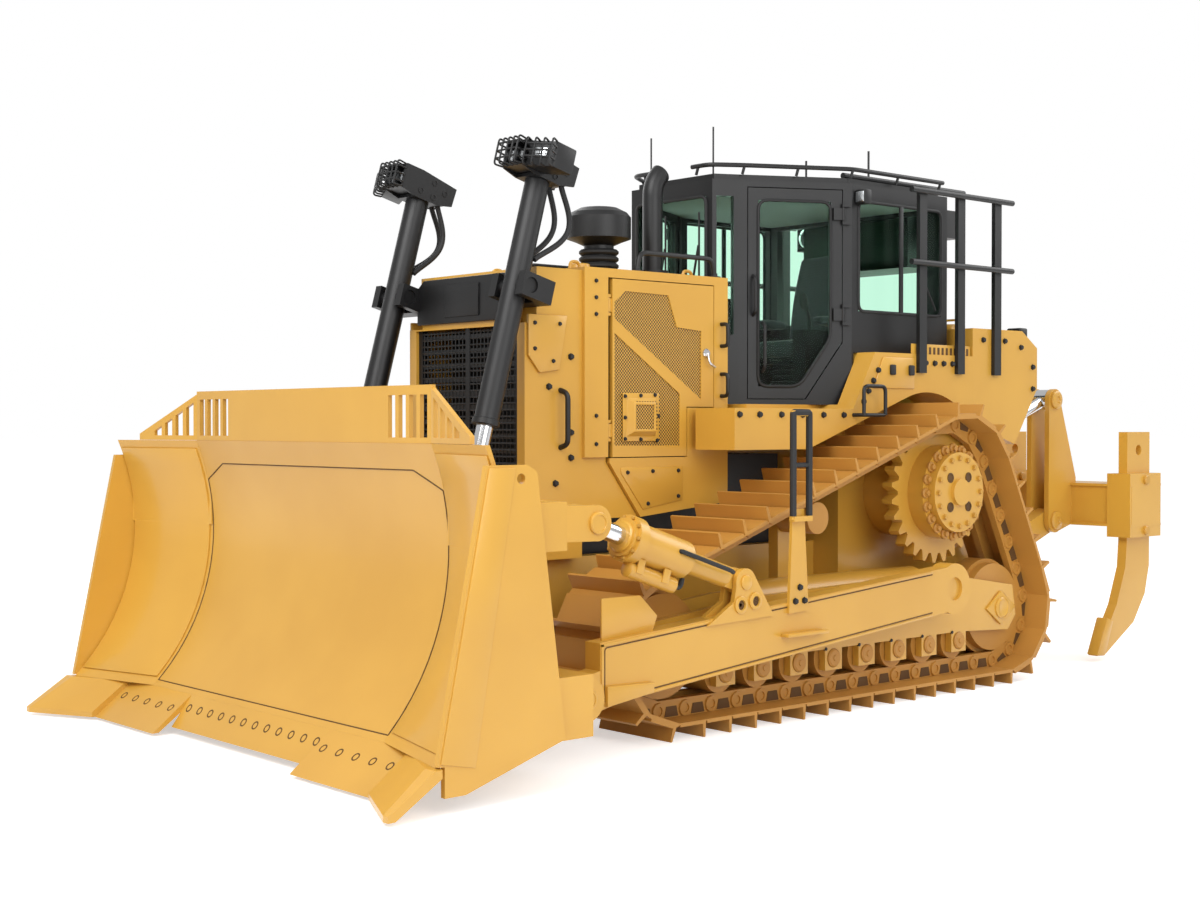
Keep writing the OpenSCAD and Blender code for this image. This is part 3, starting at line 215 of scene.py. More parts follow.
def make_finishes():
    """Fills FINISH with the machine's materials."""
    c = bpy.context.scene.bulldozer_colours
    # Two-pack enamel sprayed on welded plate: glossy, with a soft orange peel
    FINISH["yellow_enamel"] = sprayed("yellow_enamel", c.enamel, c.enamel_shade, 0.34, 0.25)
    # Powder coat baked on steel: satin, with a fine even grain
    FINISH["black_powder_coat"] = sprayed("black_powder_coat", c.black, "0D0D0E", 0.44, 0.0, peel=0.004,
                                          bump=0.08)
    # Paint over rough castings and forged links: duller, with a coarse cast skin
    FINISH["cast_track_paint"] = sprayed("cast_track_paint", c.track, "B27E36", 0.5, 0.0, peel=0.012,
                                         bump=0.18)
    # Hard chrome on ground rods
    FINISH["hard_chrome"] = polished("hard_chrome", "D8D9DB", 0.12)
    FINISH["tinted_glass"] = tinted_glass("tinted_glass", c.glass)
    FINISH["seat_cloth"] = woven("seat_cloth", c.fabric)
    # Moulded rubber: matt, slightly mottled
    FINISH["moulded_rubber"] = sprayed("moulded_rubber", c.rubber, "161617", 0.62, 0.0, peel=0.003, bump=0.1)
    # Grey moulded trim of the cab: matt, with a fine leather grain
    FINISH["moulded_trim"] = sprayed("moulded_trim", "A9ACAC", "9EA1A1", 0.7, 0.0, peel=0.003, bump=0.1)
    # Thin punched sheet under the same spray as the plate
    FINISH["perforated_sheet"] = perforated("perforated_sheet", c.enamel)
    # Painted shade in holes, pockets, eyes and slots, where the sheet lies behind the face; also the dark
    # colour of the seams
    FINISH["painted_shade_and_seams"] = sprayed("painted_shade_and_seams", "62431A", "523715", 0.7, 0.0, patch=0.3)
    # Clear polycarbonate over a bright reflector
    FINISH["lamp_glass"] = polished("lamp_glass", "E8ECEE", 0.18)
    # Thin spray over bolt heads: duller than the plate
    FINISH["bolt_paint"] = sprayed("bolt_paint", "C6943A", "B98A36", 0.42, 0.0, patch=0.3)


NODE_FINISH = {
    "black_powder_coat": [
        "engine_block", "radiator_core", "grille", "exhaust_stack", "precleaner", "cab_frame",
        "cab_door_left",
        "cab_door_right", "console", "handrails", "roof_fittings", "lift_yokes", "lift_barrels",
        "lift_lamps"],
    "hard_chrome": ["tilt_rods", "lift_rods", "ripper_tilt_rods", "ripper_lift_rods"],
    "tinted_glass": ["cab_glass", "door_glass_left", "door_glass_right"],
    "cast_track_paint": ["track_left", "track_right", "rollers", "idlers"],
    "seat_cloth": ["operator_seat"],
}


# Modelling helpers

UP = (0, 0, 1)


def fresh():
    """Object mode with nothing selected."""
    if bpy.context.mode != "OBJECT":
        bpy.ops.object.mode_set(mode="OBJECT")
    bpy.ops.object.select_all(action="DESELECT")


def keep(piece, name, body, finish, angle=35):
    """Names a finished piece, puts its place in its mesh, shades it and lets it ride on a body."""
    fresh()
    piece.select_set(True)
    bpy.context.view_layer.objects.active = piece
    bpy.ops.object.transform_apply(location=True, rotation=True, scale=True)
    bpy.ops.object.shade_smooth_by_angle(angle=math.radians(angle))
    piece.name = piece.data.name = name
    piece.data.materials.clear()
    piece.data.materials.append(FINISH[finish])
    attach(piece, body)
    return piece


def plate(points, push, rounding=0.003):
    """A flat plate: a disc's corners moved to the outline, extruded by push, its edges rounded."""
    fresh()
    bpy.ops.mesh.primitive_circle_add(vertices=len(points), fill_type="NGON")
    piece = bpy.context.object
    for vertex, point in zip(piece.data.vertices, points):
        vertex.co = point
    bpy.ops.object.mode_set(mode="EDIT")
    bpy.ops.mesh.select_all(action="SELECT")
    bpy.ops.mesh.extrude_region_move(TRANSFORM_OT_translate={"value": push})
    bpy.ops.mesh.select_all(action="SELECT")
    bpy.ops.mesh.normals_make_consistent(inside=False)
    bpy.ops.object.mode_set(mode="OBJECT")
    return rounded(piece, rounding)


def rounded(piece, width, segments=2):
    """Rounds a piece's sharp edges with an applied Bevel."""
    if width:
        bevel = piece.modifiers.new("edges", "BEVEL")
        bevel.width, bevel.segments, bevel.limit_method = width, segments, "ANGLE"
        bpy.context.view_layer.objects.active = piece
        bpy.ops.object.modifier_apply(modifier=bevel.name)
    return piece


def block(low, high, rounding=0.004):
    """A rounded block between two corners."""
    corners = [(low[0], low[1]), (high[0], low[1]), (high[0], high[1]), (low[0], high[1])]
    return plate([Vector((x, y, low[2])) for x, y in corners], (0, 0, high[2] - low[2]), rounding)


def placed(point, direction):
    """The matrix that puts a part at a point, with its Z along a direction."""
    turn = Vector(direction).to_track_quat("Z", "Y").to_matrix().to_4x4()
    return Matrix.Translation(point) @ turn


def drum(centre, axis, steps, sides=24):
    """A turned piece along axis: steps are (distance along it, radius), each extruded from the last."""
    fresh()
    bpy.ops.mesh.primitive_circle_add(vertices=sides, radius=steps[0][1], fill_type="NGON")
    piece = bpy.context.object
    bpy.ops.object.mode_set(mode="EDIT")
    bpy.ops.mesh.select_all(action="SELECT")
    bpy.ops.transform.translate(value=(0, 0, steps[0][0]))
    for (s0, r0), (s1, r1) in zip(steps, steps[1:]):
        bpy.ops.mesh.extrude_region_move(TRANSFORM_OT_translate={"value": (0, 0, s1 - s0)})
        if r1 != r0:
            bpy.ops.transform.resize(value=(r1 / r0, r1 / r0, 1), center_override=(0, 0, s1))
    bpy.ops.mesh.select_all(action="SELECT")
    bpy.ops.mesh.normals_make_consistent(inside=False)
    bpy.ops.object.mode_set(mode="OBJECT")
    piece.matrix_world = placed(centre, axis)
    return piece


def turned(steps, sides=24):
    """A turned master at the origin that points up, to be copied."""
    return drum((0, 0, 0), UP, steps, sides)


def bar(points, radius, bend=0.05, sides=3, closed=False):
    """A round bar along points, its corners bent on an arc of about the given radius."""
    path = []
    for k, point in enumerate(points):
        point = Vector(point)
        before = Vector(points[k - 1]) if k or closed else None
        after = Vector(points[(k + 1) % len(points)]) if k + 1 < len(points) or closed else None
        if before is None or after is None or not bend:
            path.append(point)
            continue
        a, b = (before - point), (after - point)
        reach = min(bend, a.length * 0.48, b.length * 0.48)
        p, q = point + a.normalized() * reach, point + b.normalized() * reach
        for t in (0, 0.25, 0.5, 0.75, 1):
            path.append(p * (1 - t) ** 2 + point * 2 * t * (1 - t) + q * t ** 2)
    line = bpy.data.curves.new("bar", "CURVE")
    line.dimensions, line.bevel_depth, line.bevel_resolution, line.use_fill_caps = "3D", radius, sides, True
    spline = line.splines.new("POLY")
    spline.points.add(len(path) - 1)
    for spot, point in zip(spline.points, path):
        spot.co = (*point, 1)
    spline.use_cyclic_u = closed
    piece = bpy.data.objects.new("bar", line)
    bpy.context.scene.collection.objects.link(piece)
    fresh()
    piece.select_set(True)
    bpy.context.view_layer.objects.active = piece
    bpy.ops.object.convert(target="MESH")
    return bpy.context.object


def joined(pieces):
    """One piece from several."""
    fresh()
    for piece in pieces:
        piece.select_set(True)
    bpy.context.view_layer.objects.active = pieces[0]
    if len(pieces) > 1:
        bpy.ops.object.join()
    return bpy.context.view_layer.objects.active


def bolt(size):
    """A hexagon head on its washer, pointing up."""
    return turned([(-0.004, size * 0.62), (size * 0.12, size * 0.62), (size * 0.13, size * 0.5),
                   (size * 0.5, size * 0.5), (size * 0.58, size * 0.4)], sides=6)


def scattered(master, places):
    """Copies of a small part at (point, direction) places, joined; the master is used up."""
    copies = []
    for point, direction in places:
        copy = master.copy()
        copy.data = master.data.copy()
        bpy.context.scene.collection.objects.link(copy)
        copy.matrix_world = placed(point, direction) @ master.matrix_world
        copies.append(copy)
    bpy.data.objects.remove(master)
    return joined(copies)


class BULLDOZER_OT_finishes(bpy.types.Operator):
    """Make the materials and give every CAD node its own"""

    bl_idname = "bulldozer.finishes"
    bl_label = "Finishes"

    def execute(self, context):
        make_finishes()
        by_node = {n: finish for finish, nodes in NODE_FINISH.items() for n in nodes}
        for name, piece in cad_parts.items():
            piece.data.materials.clear()
            piece.data.materials.append(FINISH[by_node.get(name, "yellow_enamel")])
        return {"FINISHED"}


SIDES = ((1, "left"), (-1, "right"))


def on_side(side, y, outline):
    """An X-Z outline of the CAD source as points at Y."""
    return [at(x, side * y, z) for x, z in outline]


def side_plate(side, y, outline, thick, rounding):
    """A plate with an X-Z outline, from Y outwards."""
    return plate(on_side(side, y, outline), (0, side * thick, 0), rounding)


def facing_out(side, y, spots):
    """Places at X-Z spots of a side face, for parts that point outwards."""
    return [(point, (0, side, 0)) for point in on_side(side, y, spots)]


def side_handle(side, x, skin, out, low, high, lean, radius, bend):
    """An upright grab bar on a side face; lean is how far its ends slope."""
    corners = ((skin, low), (out, low + lean), (out, high - lean), (skin, high))
    return bar([at(x, side * y, z) for y, z in corners], radius, bend)


# Lift cylinders: trunnion and rod eye in X and Z, half their distance apart, and the barrel's top
LIFT_TRUNNION, LIFT_EYE, LIFT_HALF, LIFT_TOP = (2.222, 2.590), (2.720, 0.750), 0.600, -0.640


def lift_point(side, s, y, n):
    """A point by its distance down a lift cylinder, across it and forwards of it."""
    run = Vector((LIFT_EYE[0] - LIFT_TRUNNION[0], 0, LIFT_EYE[1] - LIFT_TRUNNION[1])).normalized()
    ahead = Vector((-run.z, 0, run.x))
    return at(LIFT_TRUNNION[0], side * (LIFT_HALF + y), LIFT_TRUNNION[1]) + run * s + ahead * n


class BULLDOZER_OT_engine_doors(bpy.types.Operator):
    """Perforated screens, vent boxes, latches and bolts on the engine doors"""

    bl_idname = "bulldozer.engine_doors"
    bl_label = "Engine doors"

    UPPER = [(1.450, 2.540), (1.360, 2.610), (1.000, 2.602), (0.924, 2.406), (0.710, 2.390), (0.710, 1.956),
             (1.450, 2.440)]
    LOWER = [(1.450, 2.352), (1.450, 1.670), (0.900, 1.666), (0.900, 1.990)]
    SKIN = 0.600
    VENT = [(1.385, 1.99), (1.385, 1.695), (1.085, 1.695), (1.085, 1.99)]
    VENT_SCREEN = [(1.31, 1.94), (1.31, 1.76), (1.13, 1.76), (1.13, 1.94)]
    VENT_BOLTS = [(1.37, 1.97), (1.24, 1.975), (1.12, 1.98), (1.37, 1.84), (1.095, 1.85), (1.37, 1.71),
                  (1.24, 1.706), (1.1, 1.7)]
    LATCH = (0.672, 2.25)

    def execute(self, context):
        sizes = context.scene.bulldozer_sizes
        for side, name in SIDES:
            body = "engine_door_" + name
            screens = [side_plate(side, self.SKIN - 0.0105, self.grown(outline, 0.004), 0.004, 0)
                       for outline in (self.UPPER, self.LOWER)]
            screens.append(side_plate(side, self.SKIN + 0.036, self.VENT_SCREEN, 0.003, 0))
            keep(joined(screens), f"engine_door_screens_{name}", body, "perforated_sheet")
            keep(self.vent_box(side), f"engine_door_vent_{name}", body, "yellow_enamel")
            places = facing_out(side, self.SKIN + 0.004, self.VENT_BOLTS)
            keep(scattered(bolt(sizes.small_bolt), places), f"engine_door_bolts_{name}", body,
                 "moulded_rubber")
            x, z = self.LATCH
            lever = ((x, 0.02, z), (x, 0.035, z - 0.06), (x - 0.052, 0.035, z - 0.09))
            latch = [drum(at(x, side * self.SKIN, z), (0, side, 0), [(0, 0.03), (0.012, 0.03), (0.02, 0.022)],
                          16),
                     bar([at(x, side * (self.SKIN + out), z) for x, out, z in lever], 0.008, 0.02)]
            keep(joined(latch), f"engine_door_latch_{name}", body, "hard_chrome")
        return {"FINISHED"}

    def grown(self, outline, by):
        """The outline moved outwards from its middle, so that the screen tucks under the recess edge."""
        middle = [sum(p[k] for p in outline) / len(outline) for k in (0, 1)]
        return [tuple(middle[k] + (p[k] - middle[k]) * (1 + by) for k in (0, 1)) for p in outline]

    def vent_box(self, side):
        """A raised cover with sloping sides, drawn in and hollowed for its own screen."""
        piece = side_plate(side, self.SKIN - 0.002, self.VENT, 0.008, 0)
        bpy.ops.object.mode_set(mode="EDIT")
        bpy.ops.mesh.select_mode(type="FACE")
        bpy.ops.mesh.select_all(action="DESELECT")
        bpy.ops.object.mode_set(mode="OBJECT")
        for face in piece.data.polygons:
            face.select = face.normal.y * side > 0.9
        bpy.ops.object.mode_set(mode="EDIT")
        bpy.ops.mesh.inset(thickness=0.03, depth=0)
        bpy.ops.mesh.inset(thickness=0.03, depth=0.04)
        bpy.ops.mesh.inset(thickness=0.012, depth=0)
        bpy.ops.mesh.inset(thickness=0.002, depth=-0.012)
        bpy.ops.object.mode_set(mode="OBJECT")
        return rounded(piece, 0.003)


class BULLDOZER_OT_lamps(bpy.types.Operator):
    """Lamp lenses, cages, bracket holes, hose ports and collars on the lift cylinders"""

    bl_idname = "bulldozer.lamps"
    bl_label = "Lamps"

    def execute(self, context):
        run = lift_point(1, 1, 0, 0) - lift_point(1, 0, 0, 0)
        ahead = lift_point(1, 0, 0, 1) - lift_point(1, 0, 0, 0)
        cages, lenses, holes, pipes = [], [], [], []
        for side, _ in SIDES:
            for y in (-0.045, 0.045):
                lenses.append(drum(lift_point(side, LIFT_TOP - 0.1, y, 0.152), ahead,
                                   [(-0.004, 0.030), (0.016, 0.037), (0.026, 0.035), (0.032, 0.022)], 20))
            for y in (-0.091, -0.047, 0.0, 0.047, 0.091):
                cages.append(self.wire([lift_point(side, LIFT_TOP - s, y, n) for s, n in
                                        ((0.028, 0.195), (0.020, 0.262), (0.178, 0.262), (0.172, 0.195))]))
            for s in (0.055, 0.1, 0.145):
                cages.append(self.wire([lift_point(side, LIFT_TOP - s, y, n) for y, n in
                                        ((-0.095, 0.195), (-0.095, 0.262), (0.095, 0.262), (0.095, 0.195))]))
            for s, n in ((0.04, -0.05), (0.09, -0.13), (0.13, -0.04), (0.05, 0.05)):
                for flank in (-1, 1):
                    holes.append((lift_point(side, LIFT_TOP - s, flank * 0.0955, n), (0, side * flank, 0)))
            # Port block of the hoses, between the bracket plates
            pipes.append(plate([lift_point(side, s, -0.09, n) for s, n in
                                ((-0.652, -0.10), (-0.664, -0.165), (-0.70, -0.165), (-0.70, -0.10))],
                               (0, side * 0.18, 0), 0.004))
            # Outer lamp beside the bracket, turned outwards
            box = [(0.097, 0.030), (0.097, 0.185), (0.262, 0.110), (0.262, -0.040)]
            pipes.append(plate([lift_point(side, LIFT_TOP - 0.02, y, n) for y, n in box], run * -0.155, 0.01))
            out = (ahead * 0.91 + Vector((0, side, 0)) * 0.41).normalized()
            lenses.append(plate([lift_point(side, LIFT_TOP - s, y, n) for s, y, n in
                                 ((0.068, 0.145, 0.163), (0.128, 0.145, 0.163), (0.128, 0.215, 0.131),
                                  (0.068, 0.215, 0.131))],
                                out * 0.012, 0.003))
            for y, n in ((0.105, 0.181), (0.155, 0.158), (0.205, 0.135), (0.255, 0.113)):
                cages.append(self.wire([lift_point(side, LIFT_TOP - s, y, n) + out * d for s, d in
                                        ((0.024, -0.004), (0.020, 0.05), (0.176, 0.05), (0.172, -0.004))]))
            for s in (0.06, 0.098, 0.136):
                cages.append(self.wire([lift_point(side, LIFT_TOP - s, y, n) + out * d for y, n, d in
                                        ((0.099, 0.184, -0.004), (0.099, 0.184, 0.05), (0.260, 0.111, 0.05),
                                         (0.260, 0.111, -0.004))]))
            pipes.append(drum(lift_point(side, 0.79, 0, 0), run,
                              [(0, 0.074), (0.004, 0.08), (0.034, 0.08), (0.038, 0.074)], 40))
        keep(joined(cages), "lift_lamp_cages", "lift_barrels", "black_powder_coat")
        keep(joined(lenses), "lift_lamp_lenses", "lift_barrels", "lamp_glass")
        # The bracket holes are black discs in the rubber finish: painted shade in the holes
        hole = turned([(-0.002, 0.02), (0.003, 0.02), (0.0035, 0.014), (-0.001, 0.013)], 16)
        keep(scattered(hole, holes), "lift_lamp_bracket_holes", "lift_barrels", "moulded_rubber")
        keep(joined(pipes), "lift_outer_lamps_and_collars", "lift_barrels", "black_powder_coat")
        return {"FINISHED"}

    def wire(self, corners):
        """One wire of a lamp cage."""
        return bar(corners, 0.006, 0.02, 2)


class BULLDOZER_OT_hoses(bpy.types.Operator):
    """Hydraulic hoses behind the lift cylinders, from the lamp brackets back into the barrels"""

    bl_idname = "bulldozer.hoses"
    bl_label = "Hoses"

    # How far the first hose bows back, and how much more the second does
    POINTS, BOW, BOW_STEP = 25, 0.13, 0.03

    def execute(self, context):
        size = context.scene.bulldozer_sizes.hose
        for side, name in SIDES:
            for k, y in enumerate((-0.045, 0.045)):
                start, end = Vector((-0.668, -0.120 - 0.02 * k)), Vector((-0.180, -0.061))
                path = []
                for step in range(self.POINTS):
                    t = step / (self.POINTS - 1)
                    bow = math.sin(math.pi * t) ** 1.2 * (self.BOW + self.BOW_STEP * k)
                    down, ahead = start.lerp(end, t)
                    path.append(lift_point(side, down, y, ahead - bow))
                length = sum((b - a).length for a, b in zip(path, path[1:]))
                hose = keep(bar(path, size / 2, 0.0, 3), f"lift_hose_{name}_{k + 1}", "lift_barrels",
                            "moulded_rubber", 60)
                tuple(path[0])
        return {"FINISHED"}


class BULLDOZER_OT_blade(bpy.types.Operator):
    """Bolt holes, seams, wing liners, wear plates and pin caps of the blade"""

    bl_idname = "bulldozer.blade"
    bl_label = "Blade"

    # Top and tips of the cutting edges in X and Z; each edge's ends, tip and number of holes
    LOW, MIDDLE_TIP, END_TIP = (3.560, 0.220), (3.690, 0.045), (3.810, 0.020)
    EDGES = ((-0.75, 0.75, MIDDLE_TIP, 12), (0.75, 1.5, END_TIP, 5), (-1.5, -0.75, END_TIP, 5))
    HOLE_ROW = 0.62
    # Moldboard: centre and radius of its arc, where the wings begin and how they turn forwards
    ARC_X, ARC_Z, ARC_R = 4.4540, 1.1637, 1.300
    FOLD, TURN = 1.23, math.tan(math.radians(15))
    SEAM, SEAM_LOW, SEAM_HIGH, SEAM_TOP = 1.225, 0.25, 1.46, 1.56
    PINS = ((1.576, (2.520, 0.360)), (1.588, (2.457, 1.281)))

    def arc(self, radius, z):
        """X and Z of a curve about the moldboard's centre."""
        return self.ARC_X - math.sqrt(radius ** 2 - (z - self.ARC_Z) ** 2), z

    def face(self, y, z):
        """A point on the moldboard's front."""
        x, z = self.arc(self.ARC_R, z)
        return at(x + max(0, abs(y) - self.FOLD) * self.TURN, y, z)

    def execute(self, context):
        holes = []
        for y0, y1, tip, count in self.EDGES:
            slope = Vector((self.LOW[0] - tip[0], 0, self.LOW[1] - tip[1]))
            out = Vector((slope.z, 0, -slope.x)).normalized()
            for k in range(count):
                y = y0 + (k + 0.5) * (y1 - y0) / count
                holes.append((at(tip[0], y, tip[1]) + slope * self.HOLE_ROW, out))
        # The bolt holes are dark rims: painted shade in the holes
        rim = turned([(-0.006, 0.026), (0.001, 0.026), (0.0012, 0.018), (-0.004, 0.017)], 14)
        keep(scattered(rim, holes), "cutting_edge_bolt_holes", "blade", "painted_shade_and_seams")
        # Seams of the moldboard: below the top, down both wing joints and above the edges
        rise = [self.SEAM_LOW + (self.SEAM_HIGH - self.SEAM_LOW) * k / 14 for k in range(15)]
        top = [(-self.SEAM, self.SEAM_HIGH), (-1.0, self.SEAM_TOP), (1.0, self.SEAM_TOP),
               (self.SEAM, self.SEAM_HIGH)]
        joints = [[(side * self.SEAM, z) for z in rise] for side, _ in SIDES]
        foot = [(-self.SEAM, self.SEAM_LOW), (self.SEAM, self.SEAM_LOW)]
        seams = [bar([self.face(y, z) for y, z in line], 0.004, 0.01, 1) for line in (top, *joints, foot)]
        keep(joined(seams), "moldboard_seams", "blade", "painted_shade_and_seams")
        # Curved liners on the wings
        liners = []
        for side, _ in SIDES:
            arcs = [[self.arc(radius, z) for z in (0.27 + 1.38 * k / 14 for k in range(15))]
                    for radius in (self.ARC_R - 0.011, self.ARC_R + 0.001)]
            outline = arcs[0] + arcs[1][::-1]
            liners.append(plate([at(x + 0.006, side * 1.252, z) for x, z in outline],
                                (0.655 * self.TURN, side * 0.655, 0), 0.003))
        keep(joined(liners), "wing_liners", "blade", "yellow_enamel")
        # Wear plates on the front part of the end plates
        plates = [side_plate(side, 1.949, [(3.456, 1.592), (3.738, 0.240), (3.540, 0.200), (3.300, 1.592)],
                             0.008, 0.003) for side, _ in SIDES]
        keep(joined(plates), "end_wear_plates", "blade", "yellow_enamel")
        caps = [place for side, _ in SIDES for y, spot in self.PINS for place in facing_out(side, y, [spot])]
        cap = turned([(-0.01, 0.06), (0.012, 0.06), (0.018, 0.054), (0.018, 0.044), (0.014, 0.042)], 28)
        keep(scattered(cap, caps), "blade_pin_caps", "blade", "yellow_enamel")
        return {"FINISHED"}


class BULLDOZER_OT_push_arms(bpy.types.Operator):
    """Strips, shields, bosses, treads, sleeves, seams and bolts of the push arms"""

    bl_idname = "bulldozer.push_arms"
    bl_label = "Push arms"

    FACE = 1.530
    BOSSES = ((1.34, 0.770), (1.22, 0.785))
    STEP = 1.570

    def execute(self, context):
        sizes = context.scene.bulldozer_sizes
        strips, treads, bolts, bars, grooves, eyes = [], [], [], [], [], []
        for side, _ in SIDES:
            y = self.FACE - 0.002
            # Raised flange strips along the top and bottom edges and the front end
            top = [(-0.45, 0.858), (2.385, 0.634), (2.385, 0.618), (-0.45, 0.842)]
            low = [(-0.45, 0.584), (2.385, 0.322), (2.385, 0.306), (-0.45, 0.568)]
            nose = [(2.385, 0.634), (2.385, 0.306), (2.366, 0.308), (2.366, 0.634)]
            for outline in (top, low, nose):
                strips.append(side_plate(side, y, outline, 0.008, 0.002))
            # Toe plate under the front and tread shelf
            strips.append(side_plate(side, y, [(2.36, 0.41), (2.36, 0.30), (2.02, 0.345), (2.02, 0.40)], 0.03,
                                     0.004))
            treads.append(block(at(0.62, side * 1.56 - 0.03, 0.555), at(0.98, side * 1.56 + 0.03, 0.575)))
            bolts += facing_out(side, 1.549, ((0.80, 0.76), (0.88, 0.76), (0.84, 0.84)))
            # Shield plate ahead of the cylinder and the bracket's two bosses
            strips.append(side_plate(side, 1.472, [(2.34, 0.62), (1.97, 0.655), (1.93, 0.75), (2.06, 0.87),
                                                   (2.34, 0.87)], 0.014, 0.005))
            boss = [(0, 0.05), (0.012, 0.05), (0.016, 0.044), (0.016, 0.03), (0.004, 0.028)]
            strips += [drum(point, out, boss, 24) for point, out in facing_out(side, 1.546, self.BOSSES)]
            # Rubber sleeves on the upright step and a grip in its middle
            bars.append(bar([at(x, side * self.STEP, z)
                             for x, z in ((0.78, 1.262), (0.78, 1.868), (0.92, 1.868), (0.92, 1.262))],
                            0.0205, 0.012))
            bars.append(bar([at(0.78, side * self.STEP, 1.56), at(0.92, side * self.STEP, 1.56)], 0.015))
            grooves.append(bar([at(x, side * self.FACE, z) for x, z in
                                ((-0.45, 0.836), (2.358, 0.612), (2.358, 0.330), (-0.45, 0.592))], 0.004,
                                0.02, 1))
            eyes += facing_out(side, 1.551, self.BOSSES)
        # The eyes of the bosses are dark discs: painted shade in the bores
        eye = turned([(-0.004, 0.029), (0, 0.029), (0.001, 0.022), (-0.001, 0.01)], 20)
        keep(scattered(eye, eyes), "push_arm_bracket_eyes", "push_arms", "painted_shade_and_seams")
        keep(joined(bars), "push_arm_step_sleeves", "push_arms", "moulded_rubber")
        keep(joined(grooves), "push_arm_seams", "push_arms", "painted_shade_and_seams")
        keep(joined(strips), "push_arm_strips", "push_arms", "yellow_enamel")
        keep(joined(treads), "push_arm_treads", "push_arms", "yellow_enamel")
        keep(scattered(bolt(sizes.bolt), bolts), "push_arm_bolts", "push_arms", "moulded_rubber")
        return {"FINISHED"}


class BULLDOZER_OT_tilt_cylinders(bpy.types.Operator):
    """Glands, flange bolts, valve tubes, straps and pipes of the tilt cylinders"""

    bl_idname = "bulldozer.tilt_cylinders"
    bl_label = "Tilt cylinders"

    CLEVIS, PIN, HALF = (1.294, 0.896), (2.457, 1.281), 1.487

    def local(self, side, s, y, n):
        """A point by its distance along the cylinder from its clevis, across it and above it."""
        run = Vector((self.PIN[0] - self.CLEVIS[0], 0, self.PIN[1] - self.CLEVIS[1])).normalized()
        above = Vector((-run.z, 0, run.x))
        return at(self.CLEVIS[0], side * (self.HALF + y), self.CLEVIS[1]) + run * s + above * n

    def execute(self, context):
        sizes = context.scene.bulldozer_sizes
        run = self.local(1, 1, 0, 0) - self.local(1, 0, 0, 0)
        glands, bolts, tubes, straps, pipes = [], [], [], [], []
        for side, _ in SIDES:
            glands.append(drum(self.local(side, 0.948, 0, 0), run,
                               [(0, 0.088), (0.012, 0.088), (0.02, 0.078), (0.02, 0.06)], 32))
            for k in range(10):
                a = math.tau * k / 10
                bolts.append((self.local(side, 0.931, 0.117 * math.cos(a), 0.117 * math.sin(a)), run))
            tubes.append(drum(self.local(side, 0.52, 0.02, -0.158), run,
                              [(0, 0.03), (0.004, 0.045), (0.36, 0.045), (0.37, 0.03)], 24))
            for s in (0.6, 0.8):
                straps.append(plate([self.local(side, s + d, 0.06, n)
                                     for d, n in ((0, -0.09), (0.05, -0.09), (0.05, -0.17), (0, -0.17))],
                                    (0, side * 0.01, 0), 0.002))
            straps.append(drum(self.local(side, 0, 0.052, 0), (0, side, 0),
                               [(0, 0.042), (0.018, 0.042), (0.022, 0.036)], 28))
            pipes.append(bar([self.local(side, s, y, n) for s, y, n in
                              ((0.53, 0.02, -0.158), (0.46, 0.02, -0.158), (0.46, 0.02, -0.1))], 0.015, 0.03))
            pipes.append(bar([self.local(side, s, y, n) for s, y, n in
                              ((0.60, 0.10, 0.02), (0.60, 0.122, 0.02), (0.20, 0.122, 0.02),
                               (0.16, 0.10, 0.02))], 0.013, 0.03))
        keep(joined(pipes), "tilt_pipes", "tilt_barrels", "moulded_rubber")
        keep(joined(glands), "tilt_glands", "tilt_barrels", "yellow_enamel")
        keep(scattered(bolt(sizes.small_bolt), bolts), "tilt_flange_bolts", "tilt_barrels", "bolt_paint")
        keep(joined(tubes + straps), "tilt_valve_tubes", "tilt_barrels", "yellow_enamel")
        return {"FINISHED"}


